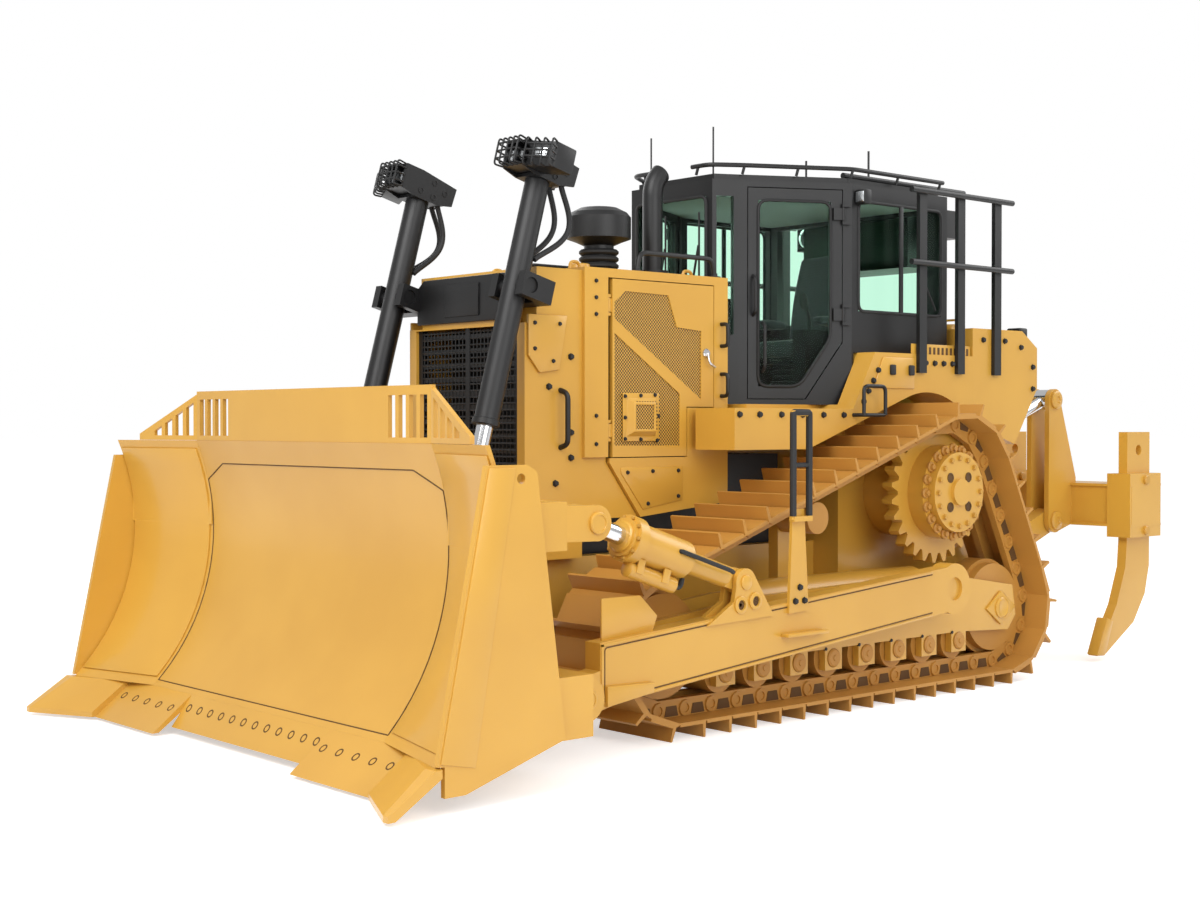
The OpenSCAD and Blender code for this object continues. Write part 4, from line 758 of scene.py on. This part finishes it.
class BULLDOZER_OT_undercarriage(bpy.types.Operator):
    """Pin bosses, link pockets, roller caps, sprocket bolts and lugs, and idler covers"""

    bl_idname = "bulldozer.undercarriage"
    bl_label = "Undercarriage"

    TRACK, IDLER_R, DRIVE_R = 1.041, 0.375, 0.464
    FRONT, REAR, DRIVE = Vector((1.6035, 0.520)), Vector((-1.6035, 0.520)), Vector((-1.084, 1.340))
    PITCH = 0.216
    ROLLERS, ROLLER_RUN, ROLLER_Z = 8, 2.267, 0.328

    def round_drive(self, side, y, radius, count, turn=0.0):
        """Places on a circle about the sprocket, the first one turned by a share of their spacing."""
        angles = [math.tau * (k + turn) / count for k in range(count)]
        return facing_out(side, y, [(self.DRIVE.x + radius * math.cos(a), self.DRIVE.y + radius * math.sin(a))
                                    for a in angles])

    def tangent(self, a, ra, b, rb):
        """Angle of the outward normal of the belt run that leaves circle a for circle b."""
        away = b - a
        return math.atan2(away.y, away.x) - math.acos((ra - rb) / away.length)

    def pins(self):
        """Pin centres round the loop with their outward angles, evenly spaced."""
        top = self.tangent(self.FRONT, self.IDLER_R, self.DRIVE, self.DRIVE_R)
        back = self.tangent(self.DRIVE, self.DRIVE_R, self.REAR, self.IDLER_R) + math.tau
        loop = []
        for centre, radius, a0, a1 in ((self.FRONT, self.IDLER_R, -math.pi / 2, top),
                                       (self.DRIVE, self.DRIVE_R, top, back),
                                       (self.REAR, self.IDLER_R, back, math.pi * 1.5)):
            loop += [(centre + radius * Vector((math.cos(a), math.sin(a))), a)
                     for a in (a0 + (a1 - a0) * k / 40 for k in range(41))]
        loop.insert(0, (loop[-1][0].copy(), -math.pi / 2))
        lengths = [0]
        for (p, _), (q, _) in zip(loop, loop[1:]):
            lengths.append(lengths[-1] + (q - p).length)
        count = round(lengths[-1] / self.PITCH)
        for k in range(count):
            s = k * lengths[-1] / count
            i = max(j for j in range(len(loop) - 1) if lengths[j] <= s)
            t = (s - lengths[i]) / (lengths[i + 1] - lengths[i])
            yield loop[i][0].lerp(loop[i + 1][0], t), loop[i][1] + (loop[i + 1][1] - loop[i][1]) * t

    def execute(self, context):
        sizes = context.scene.bulldozer_sizes
        places = [(at(p.x, side * (self.TRACK + 0.122), p.y), (0, side, 0)) for p, _ in self.pins()
                  for side, _ in SIDES]
        boss = turned([(-0.002, 0.05), (0.012, 0.046), (0.012, 0.028), (0.004, 0.026)], 12)
        keep(scattered(boss, places), "track_pin_bosses", "machine", "cast_track_paint")
        links = []
        for p, angle in self.pins():
            for side, _ in SIDES:
                along = Vector((-math.sin(angle), math.cos(angle)))
                out = Vector((math.cos(angle), math.sin(angle)))
                middle = p + along * self.PITCH / 2
                corners = [middle + along * u + out * v
                           for u, v in ((-0.055, 0.04), (0.055, 0.04), (0.04, -0.02), (-0.04, -0.02))]
                links.append(([at(c.x, side * (self.TRACK + 0.121), c.y) for c in corners], side))
        # The link pockets are dark plates: painted shade in the pockets
        windows = joined([plate(points, (0, side * 0.004, 0), 0) for points, side in links])
        keep(windows, "track_link_pockets", "machine", "painted_shade_and_seams")

        rollers = [self.ROLLER_RUN * (k / (self.ROLLERS - 1) - 0.5) for k in range(self.ROLLERS)]
        caps = [(at(x, side * (self.TRACK + 0.185), self.ROLLER_Z), (0, side, 0)) for x in rollers
                for side, _ in SIDES]
        cap = turned([(-0.002, 0.058), (0.012, 0.058), (0.02, 0.048), (0.02, 0.02), (0.026, 0.016)], 20)
        keep(scattered(cap, caps), "roller_caps", "machine", "cast_track_paint")
        plugs = [(point + Vector((0.075, 0, 0.062)), direction) for point, direction in caps]
        keep(scattered(bolt(sizes.small_bolt), plugs), "roller_plugs", "machine", "moulded_rubber")
        hub = self.TRACK + 0.305 - 0.076
        ring, rim, outer = [], [], []
        for side, _ in SIDES:
            ring += self.round_drive(side, hub, 0.23, 16)
            rim += self.round_drive(side, hub - 0.061, 0.296, 20)
            outer += self.round_drive(side, hub, 0.14, 4, 0.5)
        keep(scattered(bolt(sizes.bolt), ring), "sprocket_hub_bolts", "machine", "bolt_paint")
        lug = turned([(-0.004, 0.036), (0.012, 0.036), (0.018, 0.03), (0.018, 0.02), (0.034, 0.018)], 12)
        keep(scattered(lug, rim), "sprocket_rim_lugs", "machine", "cast_track_paint")
        # The hub plugs are dark discs: painted shade in the hub bores
        plug = turned([(-0.002, 0.034), (0.004, 0.034), (0.008, 0.026), (0.002, 0.022)], 16)
        keep(scattered(plug, outer), "sprocket_hub_plugs", "machine", "painted_shade_and_seams")
        covers = []
        for side, _ in SIDES:
            for x in (self.REAR.x, self.FRONT.x):
                y = self.TRACK + 0.188
                diamond = [(x - 0.17, 0.52), (x, 0.64), (x + 0.17, 0.52), (x, 0.40)]
                covers.append(side_plate(side, y, diamond, 0.018, 0.008))
                covers.append(drum(at(x, side * (y + 0.016), 0.52), (0, side, 0),
                                   [(0, 0.075), (0.012, 0.075), (0.02, 0.06), (0.014, 0.05)], 24))
        keep(joined(covers), "idler_covers", "machine", "yellow_enamel")
        return {"FINISHED"}


class BULLDOZER_OT_cab(bpy.types.Operator):
    """Seals, door grips, roof rails, antennas, wipers, pillar lamps and headliner of the cab"""

    bl_idname = "bulldozer.cab"
    bl_label = "Cab"

    FRONT, REAR, ROOF = Vector((0.240, 0.470)), Vector((-0.460, 0.850)), 3.450

    def wall(self, side, s, out, z):
        """A point on the door wall: s from its front edge, out from its face."""
        along = (self.REAR - self.FRONT).normalized()
        face = self.FRONT + along * s + Vector((along.y, -along.x)) * out
        return at(face.x, side * face.y, z)

    def handle(self, side, s, low, high):
        """An upright grip on the door wall between two heights."""
        corners = ((0.0, low), (0.05, low + 0.02), (0.05, high - 0.02), (0.0, high))
        return bar([self.wall(side, s, out, z) for out, z in corners], 0.012, 0.03)

    def execute(self, context):
        length = (self.REAR - self.FRONT).length
        low, high = 1.93, self.ROOF - 0.15
        for side, name in SIDES:
            body = "cab_door_" + name
            pane = [(0.14, low + 0.12), (length - 0.37, low + 0.12), (length - 0.15, low + 0.44),
                    (length - 0.15, high - 0.02), (0.14, high - 0.02)]
            seal = bar([self.wall(side, s, 0.002, z) for s, z in pane], 0.011, 0.07, 2, closed=True)
            keep(seal, f"cab_door_seal_{name}", body, "moulded_rubber")
            grip = [self.handle(side, 0.105, 2.52, 2.78), self.handle(side, 0.17, 2.15, 2.47)]
            keep(joined(grip), f"cab_door_grips_{name}", body, "moulded_rubber")
        seals, lamps, lenses = [], [], []
        for side, _ in SIDES:
            rear = [(-0.53, 2.56), (-1.43, 2.56), (-1.43, high), (-0.53, high)]
            seals.append(bar([at(x, side * 0.848, z) for x, z in rear], 0.012, 0.06, 2, closed=True))
            # Lamp on the rear door pillar, rail round the roof and a whip antenna
            lamps.append(block(at(-0.56, side * 0.895 - 0.045, 3.27), at(-0.49, side * 0.895 + 0.045, 3.37),
                               0.012))
            lenses.append(block(at(-0.492, side * 0.895 - 0.034, 3.285),
                                at(-0.484, side * 0.895 + 0.034, 3.355), 0.003))
            roof = [(0.40, 0.20), (0.40, 0.36), (0.22, 0.48), (-0.47, 0.85), (-1.45, 0.85)]
            lamps.append(bar([at(x, side * y, self.ROOF + 0.055) for x, y in roof], 0.015, 0.06))
            for x, y in ((0.40, 0.26), (0.20, 0.49), (-0.13, 0.668), (-0.47, 0.85), (-0.95, 0.85),
                         (-1.42, 0.85)):
                lamps.append(bar([at(x, side * (y - 0.02), self.ROOF - 0.002),
                                  at(x, side * y, self.ROOF + 0.05)], 0.01))
            lamps.append(bar([at(0.30, side * 0.30, self.ROOF - 0.002),
                              at(0.30, side * 0.30, self.ROOF + 0.32)], 0.006))
            # Divider of the sliding rear side window, and its wiper
            lamps.append(side_plate(side, 0.846, [(-0.96, 2.56), (-1.0, 2.56), (-1.0, 3.30), (-0.96, 3.30)],
                                    0.012, 0.003))
            lamps.append(bar([at(-1.36, side * 0.856, 2.60), at(-1.12, side * 0.862, 2.95)], 0.007))
        seals.append(bar([at(0.402, y, z) for y, z in ((-0.335, 2.49), (0.335, 2.49), (0.335, high),
                                                       (-0.335, high))], 0.012, 0.05, 2, closed=True))
        keep(joined(seals), "cab_window_seals", "machine", "moulded_rubber")
        for y, lean in ((-0.16, 0.12), (0.16, 0.12)):
            lamps.append(bar([at(0.408, y, 2.50), at(0.418, y + lean, 2.98)], 0.008))
            lamps.append(bar([at(0.412, y + lean, 2.78), at(0.412, y + lean, 3.20)], 0.007))
        keep(joined(lamps), "roof_rails_and_lamps", "machine", "black_powder_coat")
        # Moulded headliner under the roof
        liner = [(0.33, -0.34), (0.33, 0.34), (0.20, 0.42), (-0.47, 0.76), (-1.42, 0.76), (-1.42, -0.76),
                 (-0.47, -0.76), (0.20, -0.42)]
        keep(plate([at(x, y, 3.325) for x, y in liner], (0, 0, 0.02), 0.006), "cab_headliner", "machine",
             "moulded_trim")
        keep(joined(lenses), "pillar_lamp_lenses", "machine", "lamp_glass")
        return {"FINISHED"}


class BULLDOZER_OT_platform(bpy.types.Operator):
    """Tool box lids and latches, step loops, grab bars, rail slots and bolts of platform and guard"""

    bl_idname = "bulldozer.platform"
    bl_label = "Platform"

    FENDER = 1.000
    GUARD_BOLTS = ((1.95, 2.02), (1.78, 2.2), (1.78, 1.75), (1.78, 1.6), (1.9, 1.45))
    FENDER_BOLTS = ((-0.40, 1.95), (-0.45, 2.02), (-0.50, 2.09), (-0.55, 2.16), (-0.2, 1.86),
                    (0.0, 1.86), (0.2, 1.86), (0.4, 1.86), (0.6, 1.86), (0.78, 1.86),
                    (-1.98, 2.40), (-2.18, 2.36), (-2.33, 2.22), (-2.33, 2.06), (-1.72, 2.40))

    def execute(self, context):
        sizes = context.scene.bulldozer_sizes
        lids, latches, bars, bolts, slots = [], [], [], [], []
        for side, _ in SIDES:
            lids.append(side_plate(side, self.FENDER - 0.001,
                                   [(-0.60, 2.25), (-0.93, 2.25), (-0.93, 2.04), (-0.50, 2.04)], 0.012,
                                   0.006))
            for x in (-0.66, -0.86):
                latches.append(side_plate(side, self.FENDER + 0.010,
                                          [(x, 2.20), (x - 0.05, 2.20), (x - 0.05, 2.13), (x, 2.13)], 0.022,
                                          0.008))
            y = side * (self.FENDER - 0.002)
            bars.append(bar([at(-0.30, y, 1.86), at(-0.30, side * 1.09, 1.86), at(-0.52, side * 1.09, 1.86),
                             at(-0.52, y, 1.86)], 0.013, 0.03))
            bars.append(bar([at(-0.30, side * 1.09, 1.86), at(-0.30, side * 1.09, 2.05),
                             at(-0.52, side * 1.09, 2.05), at(-0.52, side * 1.09, 1.86)], 0.013, 0.04))
            # Grab bars on the hood rear post and on the radiator guard
            for z0, z1 in ((2.30, 2.44), (1.98, 2.12)):
                bars.append(side_handle(side, 0.53, 0.598, 0.66, z0, z1, 0, 0.013, 0.03))
            bars.append(side_handle(side, 1.86, 0.573, 0.645, 1.66, 2.0, 0.02, 0.016, 0.05))
            bolts += facing_out(side, 0.576, self.GUARD_BOLTS)
            bolts += facing_out(side, self.FENDER + 0.001, [(-1.06 - k * 0.1, 2.22) for k in range(5)])
            bolts += facing_out(side, self.FENDER + 0.001, self.FENDER_BOLTS)
            lids.append(side_plate(side, self.FENDER - 0.024,
                                   [(-0.93, 2.246), (-1.59, 2.246), (-1.59, 2.35), (-0.93, 2.35)], 0.012,
                                   0.003))
            for k in range(13):
                x = -0.975 - k * 0.047
                slots.append(side_plate(side, self.FENDER - 0.014,
                                        [(x, 2.27), (x - 0.024, 2.27), (x - 0.024, 2.33), (x, 2.33)], 0.003,
                                        0))
        # The rail slots are dark plates: painted shade in the slots
        keep(joined(slots), "fender_rail_slots", "machine", "painted_shade_and_seams")
        keep(joined(lids), "tool_box_lids", "machine", "yellow_enamel")
        keep(joined(latches), "tool_box_latches", "machine", "moulded_rubber")
        keep(joined(bars), "grab_bars", "machine", "black_powder_coat")
        keep(scattered(bolt(sizes.bolt), bolts), "guard_and_fender_bolts", "machine", "moulded_rubber")
        return {"FINISHED"}


class BULLDOZER_OT_ripper(bpy.types.Operator):
    """Pin caps, shank pins and tips of the ripper"""

    bl_idname = "bulldozer.ripper"
    bl_label = "Ripper"

    BEAM, SHANKS, TOWER = -3.510, (-1.130, 0.0, 1.130), 0.600
    LOW, TOP = (-3.090, 1.050), (-3.085, 1.990)

    def execute(self, context):
        caps = [(at(p[0], side * (self.TOWER + 0.101), p[1]), (0, side, 0)) for p in (self.LOW, self.TOP)
                for side, _ in SIDES]
        cap = turned([(-0.002, 0.07), (0.018, 0.07), (0.026, 0.058), (0.026, 0.03), (0.018, 0.026)], 28)
        keep(scattered(cap, caps), "ripper_pin_caps", "ripper_beam", "yellow_enamel")
        pins = [(at(self.BEAM, y + 0.1, z), (0, 1, 0)) for y in self.SHANKS for z in (1.37, 0.98)]
        pin = turned([(-0.002, 0.035), (0.016, 0.035), (0.024, 0.028)], 20)
        keep(scattered(pin, pins), "ripper_shank_pins", "ripper_beam", "bolt_paint")
        tips = [plate([at(self.BEAM + x, y - 0.05, z) for x, z in ((0.36, 0.30), (0.44, 0.33), (0.575, 0.055),
                                                                   (0.47, 0.048))],
                      (0, 0.1, 0), 0.01) for y in self.SHANKS]
        keep(joined(tips), "ripper_tips", "ripper_beam", "yellow_enamel")
        return {"FINISHED"}


class BULLDOZER_OT_guard(bpy.types.Operator):
    """Plates, covers, rails and fittings of the guard and hood, precleaner ribs and grille wires"""

    bl_idname = "bulldozer.guard"
    bl_label = "Guard and hood"

    FRONT, SIDE, SKIN, ROOF = 2.130, 0.575, 0.600, 2.740

    def execute(self, context):
        sizes = context.scene.bulldozer_sizes
        front = [plate([at(self.FRONT - 0.002, y, z) for y, z in
                        ((-0.47, 2.415), (0.47, 2.415), (0.47, 2.64), (0.40, 2.69), (-0.40, 2.69),
                         (-0.47, 2.64))], (0.022, 0, 0), 0.008),
                 plate([at(self.FRONT + 0.018, y, z) for y, z in ((-0.17, 2.45), (0.17, 2.45), (0.17, 2.65),
                                                                  (-0.17, 2.65))],
                       (0.014, 0, 0), 0.01)]
        keep(joined(front), "guard_front_plate", "machine", "black_powder_coat")
        covers, bolts, rails = [], [], []
        for side, _ in SIDES:
            covers.append(side_plate(side, self.SIDE - 0.002,
                                     [(2.115, 2.44), (2.115, 2.20), (2.03, 2.10), (1.88, 2.12), (1.82, 2.44)],
                                     0.022, 0.005))
            bolts += facing_out(side, self.SIDE + 0.019,
                                ((2.07, 2.39), (1.88, 2.39), (2.07, 2.24), (1.93, 2.17)))
            covers.append(side_plate(side, self.SKIN - 0.002,
                                     [(1.40, 1.535), (0.88, 1.535), (0.88, 1.325), (1.22, 1.275),
                                      (1.40, 1.50)], 0.009, 0.004))
            bolts += facing_out(side, self.SKIN + 0.006,
                                ((1.35, 1.505), (1.14, 1.51), (0.92, 1.51), (0.92, 1.35), (1.18, 1.31)))
            bolts += facing_out(side, self.SKIN, [(1.60, z) for z in (2.66, 2.56, 2.46, 1.85, 1.68)])
            y = side * 0.55
            rails.append(bar([at(1.22, y, self.ROOF - 0.004), at(1.20, y, self.ROOF + 0.12),
                              at(0.56, y, self.ROOF + 0.12),
                              at(0.54, y, self.ROOF - 0.004)], 0.016, 0.06))
            for x in (1.22, 0.54):
                rails.append(drum(at(x, y, self.ROOF - 0.001), UP,
                                  [(0, 0.04), (0.008, 0.04), (0.012, 0.02), (0.03, 0.018)], 20))
        keep(joined(covers), "guard_brackets_and_covers", "machine", "yellow_enamel")
        keep(scattered(bolt(sizes.small_bolt), bolts), "guard_and_cover_bolts", "machine", "moulded_rubber")
        keep(joined(rails), "hood_handrails", "machine", "black_powder_coat")
        # Filler cap and lifting eyes of the hood top
        tops = [drum(at(1.45, 0.28, self.ROOF - 0.002), UP,
                     [(0, 0.075), (0.02, 0.075), (0.026, 0.066), (0.05, 0.06), (0.056, 0.05)], 28)]
        for x in (1.58, 0.62):
            for side, _ in SIDES:
                tops.append(bar([at(x - 0.04, side * 0.38, self.ROOF - 0.004),
                                 at(x - 0.035, side * 0.38, self.ROOF + 0.05),
                                 at(x + 0.035, side * 0.38, self.ROOF + 0.05),
                                 at(x + 0.04, side * 0.38, self.ROOF - 0.004)], 0.011, 0.03))
        keep(joined(tops), "hood_top_fittings", "machine", "yellow_enamel")
        low, high = (Vector(corner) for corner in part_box("precleaner"))
        middle, reach, tall = (low + high) / 2, (high.x - low.x) / 2, high.z - low.z
        foot = Vector((middle.x, middle.y, low.z))
        ribs = [drum(foot + Vector((0, 0, tall * share)), UP,
                     [(0, reach * 0.56), (0.012, reach * 0.62), (0.024, reach * 0.62), (0.036, reach * 0.56)],
                     40) for share in (0.10, 0.20, 0.30)]
        keep(joined(ribs), "precleaner_ribs", "machine", "moulded_rubber")
        # Wires of the grille, in front of its slats
        low, high = (Vector(corner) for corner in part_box("grille"))
        x = high.x - 0.006
        wires = [bar([(x, y, low.z + 0.01), (x, y, high.z - 0.01)], 0.005, 0, 1)
                 for y in (low.y + (k + 0.5) * (high.y - low.y) / 28 for k in range(28))]
        wires += [bar([(x, low.y + 0.01, z), (x, high.y - 0.01, z)], 0.006, 0, 1)
                  for z in (low.z + (k + 0.5) * (high.z - low.z) / 26 for k in range(26))]
        keep(joined(wires), "grille_wires", "machine", "black_powder_coat")
        return {"FINISHED"}


class BULLDOZER_OT_seat(bpy.types.Operator):
    """Operator's padded seat on its pedestal, with controls beside it"""

    bl_idname = "bulldozer.seat"
    bl_label = "Seat"

    def cushion(self, corners, push, crown):
        """A crowned pad: a plate subdivided and swollen about its middle."""
        pad = plate(corners, push, 0.02)
        bpy.ops.object.mode_set(mode="EDIT")
        bpy.ops.mesh.select_all(action="SELECT")
        bpy.ops.mesh.quads_convert_to_tris()
        bpy.ops.mesh.subdivide(number_cuts=3)
        bpy.ops.object.mode_set(mode="OBJECT")
        swell = pad.modifiers.new("swell", "CAST")
        swell.factor, swell.cast_type, swell.use_radius_as_size = crown, "SPHERE", True
        middle = sum((Vector(c) for c in corners), Vector()) / len(corners) + Vector(push) / 2
        fresh()
        pad.select_set(True)
        bpy.context.view_layer.objects.active = pad
        bpy.context.scene.cursor.location = middle
        bpy.ops.object.origin_set(type="ORIGIN_CURSOR")
        bpy.context.scene.cursor.location = (0, 0, 0)
        bpy.ops.object.modifier_apply(modifier=swell.name)
        smooth = pad.modifiers.new("round", "SUBSURF")
        smooth.levels = smooth.render_levels = 1
        bpy.ops.object.modifier_apply(modifier=smooth.name)
        return pad

    def execute(self, context):
        seat = self.cushion([at(x, y, 2.28) for x, y in ((-1.13, -0.245), (-0.655, -0.245), (-0.655, 0.245),
                                                         (-1.13, 0.245))],
                            (0, 0, 0.115), 0.12)
        back = self.cushion([at(x, y, z) for x, y, z in ((-1.025, -0.235, 2.42), (-1.025, 0.235, 2.42),
                                                         (-1.165, 0.235, 3.03), (-1.165, -0.235, 3.03))],
                            (-0.11, 0, -0.012), 0.12)
        rests = [self.cushion([at(x, side * y, 2.50) for x, y in ((-1.05, 0.27), (-0.72, 0.27), (-0.72, 0.35),
                                                                  (-1.05, 0.35))],
                              (0, 0, 0.06), 0.1) for side, _ in SIDES]
        pads = keep(joined([seat, back, *rests]), "seat_cushions", "machine", "seat_cloth", 60)
        frame_parts = [block(at(-1.10, -0.20, 1.932), at(-0.72, 0.20, 1.99), 0.01),
                       block(at(-1.12, -0.23, 2.23), at(-0.67, 0.23, 2.29), 0.02)]
        for k in range(6):
            z = 1.99 + 0.04 * k
            frame_parts.append(block(at(-1.06 + 0.01 * (k % 2), -0.17 + 0.01 * (k % 2), z),
                                     at(-0.76 - 0.01 * (k % 2), 0.17 - 0.01 * (k % 2), z + 0.042), 0.012))
        for side, _ in SIDES:
            frame_parts.append(bar([at(-1.10, side * 0.24, 2.26), at(-1.10, side * 0.29, 2.3),
                                    at(-0.98, side * 0.30, 2.51)], 0.018, 0.04))
        pedestal = keep(joined(frame_parts), "seat_pedestal", "machine", "moulded_rubber")
        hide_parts("operator_seat")
        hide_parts("operator_seat")
        controls = []
        for side, _ in SIDES:
            controls.append(bar([at(-0.56, side * 0.39, 2.448), at(-0.55, side * 0.39, 2.56),
                                 at(-0.53, side * 0.37, 2.62)], 0.014, 0.04))
            controls.append(drum(at(-0.53, side * 0.37, 2.60), (0.1, -side * 0.1, 1),
                                 [(0, 0.02), (0.03, 0.032), (0.09, 0.03), (0.11, 0.018)], 16))
        controls.append(plate([at(0.06, y, z) for y, z in ((-0.13, 2.60), (0.13, 2.60), (0.13, 2.78),
                                                           (-0.13, 2.78))], (0.035, 0, 0.004), 0.01))
        controls.append(bar([at(0.08, 0, 2.55), at(0.085, 0, 2.64)], 0.02))
        keep(joined(controls), "operator_controls", "machine", "moulded_rubber")
        return {"FINISHED"}


class BULLDOZER_OT_rear(bpy.types.Operator):
    """Filler cap, panel and lamps of the tank, louvres and lamps of the air conditioner"""

    bl_idname = "bulldozer.rear"
    bl_label = "Rear"

    TANK, COOLER = -2.390, -1.920

    def execute(self, context):
        sizes = context.scene.bulldozer_sizes
        cap = [drum(at(-1.95, 0.55, 2.478), UP, [(0, 0.10), (0.016, 0.10), (0.022, 0.08), (0.05, 0.078),
                                                 (0.06, 0.066)], 28),
               bar([at(-1.95, 0.49, 2.53), at(-1.95, 0.50, 2.57), at(-1.95, 0.60, 2.57),
                    at(-1.95, 0.61, 2.53)], 0.009, 0.02)]
        panel = [plate([at(self.TANK + 0.002, y, z) for y, z in ((-0.62, 2.22), (-0.62, 2.34), (0.62, 2.34),
                                                                 (0.62, 2.22))], (-0.012, 0, 0), 0.004)]
        keep(joined(cap + panel), "tank_fittings", "machine", "yellow_enamel")
        bolts = [(at(self.TANK - 0.010, y, z), (-1, 0, 0)) for y in (-0.56, -0.28, 0, 0.28, 0.56)
                 for z in (2.245, 2.315)]
        keep(scattered(bolt(sizes.small_bolt), bolts), "tank_panel_bolts", "machine", "bolt_paint")
        slats, lamps, lenses = [], [], []
        for k in range(8):
            z = 3.00 + 0.052 * k
            slats.append(plate([at(self.COOLER + 0.004, -0.44, z), at(self.COOLER - 0.016, -0.44, z + 0.014),
                                at(self.COOLER - 0.016, -0.44, z + 0.024),
                                at(self.COOLER + 0.004, -0.44, z + 0.03)], (0, 0.88, 0), 0.002))
        for side, _ in SIDES:
            for x, axis in ((-1.85, (-1, 0, 0)), (-1.65, (1, 0, 0))):
                lenses.append(drum(at(x, side * 0.60, 3.25), axis,
                                   [(-0.004, 0.07), (0.012, 0.074), (0.02, 0.064), (0.024, 0.03)], 24))
            y = side * 0.88
            lamps.append(block(at(self.TANK + 0.03, y - 0.06, 2.405), at(self.TANK + 0.13, y + 0.06, 2.51),
                               0.012))
            lenses.append(drum(at(self.TANK + 0.03, y, 2.458), (-1, 0, 0),
                               [(-0.004, 0.04), (0.006, 0.042), (0.012, 0.03)], 20))
        keep(joined(slats), "air_conditioner_louvres", "machine", "moulded_rubber")
        keep(joined(lamps), "tank_lamps", "machine", "black_powder_coat")
        keep(joined(lenses), "rear_lamp_lenses", "machine", "lamp_glass")
        return {"FINISHED"}


class BULLDOZER_OT_studio(bpy.types.Operator):
    """Pale floor, soft studio light and the camera"""

    bl_idname = "bulldozer.studio"
    bl_label = "Studio"

    def execute(self, context):
        scene = context.scene
        scene.view_settings.view_transform = "Standard"
        fresh()
        bpy.ops.mesh.primitive_plane_add(size=400)
        floor = context.object
        floor.name = "studio_floor"
        paint = bpy.data.materials.new("studio_floor_paint")
        paint.use_nodes = True
        tree = paint.node_tree
        tree.nodes.clear()
        rays = add_node(tree, "ShaderNodeLightPath")
        seen = add_node(tree, "ShaderNodeMath", {"operation": "MAXIMUM"},
                        _0=rays.outputs["Is Camera Ray"], _1=rays.outputs["Is Glossy Ray"])
        seen = add_node(tree, "ShaderNodeMath", {"operation": "MAXIMUM"},
                        _0=seen.outputs["Value"], _1=rays.outputs["Is Transmission Ray"])
        lift = add_node(tree, "ShaderNodeMath", {"operation": "MULTIPLY"}, _0=seen.outputs["Value"], _1=0.52)
        matt = add_node(tree, "ShaderNodeBsdfDiffuse", Color=linear("E6E6E6"))
        glow = add_node(tree, "ShaderNodeEmission", Strength=lift.outputs["Value"])
        both = add_node(tree, "ShaderNodeAddShader", _0=matt.outputs["BSDF"], _1=glow.outputs["Emission"])
        add_node(tree, "ShaderNodeOutputMaterial", Surface=both.outputs["Shader"])
        floor.data.materials.append(paint)

        world = bpy.data.worlds.new("studio_sky")
        scene.world = world
        world.use_nodes = True
        tree = world.node_tree
        tree.nodes.clear()
        rays = add_node(tree, "ShaderNodeLightPath")
        seen = add_node(tree, "ShaderNodeMath", {"operation": "MAXIMUM"},
                        _0=rays.outputs["Is Camera Ray"], _1=rays.outputs["Is Transmission Ray"])
        power = add_node(tree, "ShaderNodeMapRange", Value=seen.outputs["Value"], To_Min=0.62, To_Max=1.0)
        sky = add_node(tree, "ShaderNodeBackground", Color=(1, 1, 1, 1), Strength=power.outputs["Result"])
        add_node(tree, "ShaderNodeOutputWorld", Surface=sky.outputs["Background"])

        for name, place, size, power in (("key", (9, 3, 9), 7, 900), ("fill", (3, 11, 6), 8, 520),
                                         ("back", (-9, 4, 8), 7, 420), ("far", (-2, -10, 7), 8, 360)):
            lamp = bpy.data.lights.new("studio_" + name, "AREA")
            lamp.size, lamp.energy = size, power
            stand = bpy.data.objects.new("studio_" + name, lamp)
            scene.collection.objects.link(stand)
            stand.location = place
            stand.rotation_euler = (Vector((0, 0, 1.4)) - Vector(place)).to_track_quat("-Z", "Y").to_euler()

        eye = bpy.data.cameras.new("photo_camera")
        eye.sensor_width, eye.lens = 36.0, 50.534
        stand = bpy.data.objects.new("photo_camera", eye)
        scene.collection.objects.link(stand)
        stand.location = at(8.2819, 8.1858, 1.7955)
        yaw, pitch = math.radians(228.49), math.radians(-0.856)
        look = Vector((math.cos(pitch) * math.cos(yaw), math.cos(pitch) * math.sin(yaw), math.sin(pitch)))
        stand.rotation_euler = look.to_track_quat("-Z", "Y").to_euler()
        scene.camera = stand
        return {"FINISHED"}


class BULLDOZER_PT_panel(bpy.types.Panel):
    """Lists the steps and what a user would change"""

    bl_label = "Bulldozer"
    bl_idname = "BULLDOZER_PT_panel"
    bl_space_type = "VIEW_3D"
    bl_region_type = "UI"
    bl_category = "Bulldozer"

    def draw(self, context):
        for group in (context.scene.bulldozer_colours, context.scene.bulldozer_sizes):
            for key in group.__annotations__:
                self.layout.prop(group, key)
        for step in STEPS:
            self.layout.operator(step.bl_idname)


STEPS = [
    BULLDOZER_OT_studio, BULLDOZER_OT_finishes, BULLDOZER_OT_hoses, BULLDOZER_OT_engine_doors,
    BULLDOZER_OT_lamps, BULLDOZER_OT_blade,
    BULLDOZER_OT_push_arms, BULLDOZER_OT_tilt_cylinders, BULLDOZER_OT_undercarriage, BULLDOZER_OT_cab,
    BULLDOZER_OT_guard, BULLDOZER_OT_seat, BULLDOZER_OT_platform, BULLDOZER_OT_rear, BULLDOZER_OT_ripper]
CLASSES = [BulldozerColours, BulldozerSizes, *STEPS, BULLDOZER_PT_panel]


def register():
    for kind in CLASSES:
        bpy.utils.register_class(kind)
    bpy.types.Scene.bulldozer_colours = bpy.props.PointerProperty(type=BulldozerColours)
    bpy.types.Scene.bulldozer_sizes = bpy.props.PointerProperty(type=BulldozerSizes)


def unregister():
    del bpy.types.Scene.bulldozer_sizes
    del bpy.types.Scene.bulldozer_colours
    for kind in reversed(CLASSES):
        bpy.utils.unregister_class(kind)


def main():
    register()
    for step in STEPS:
        getattr(bpy.ops.bulldozer, step.bl_idname.split(".")[1])()


if __name__ == "__main__":
    main()
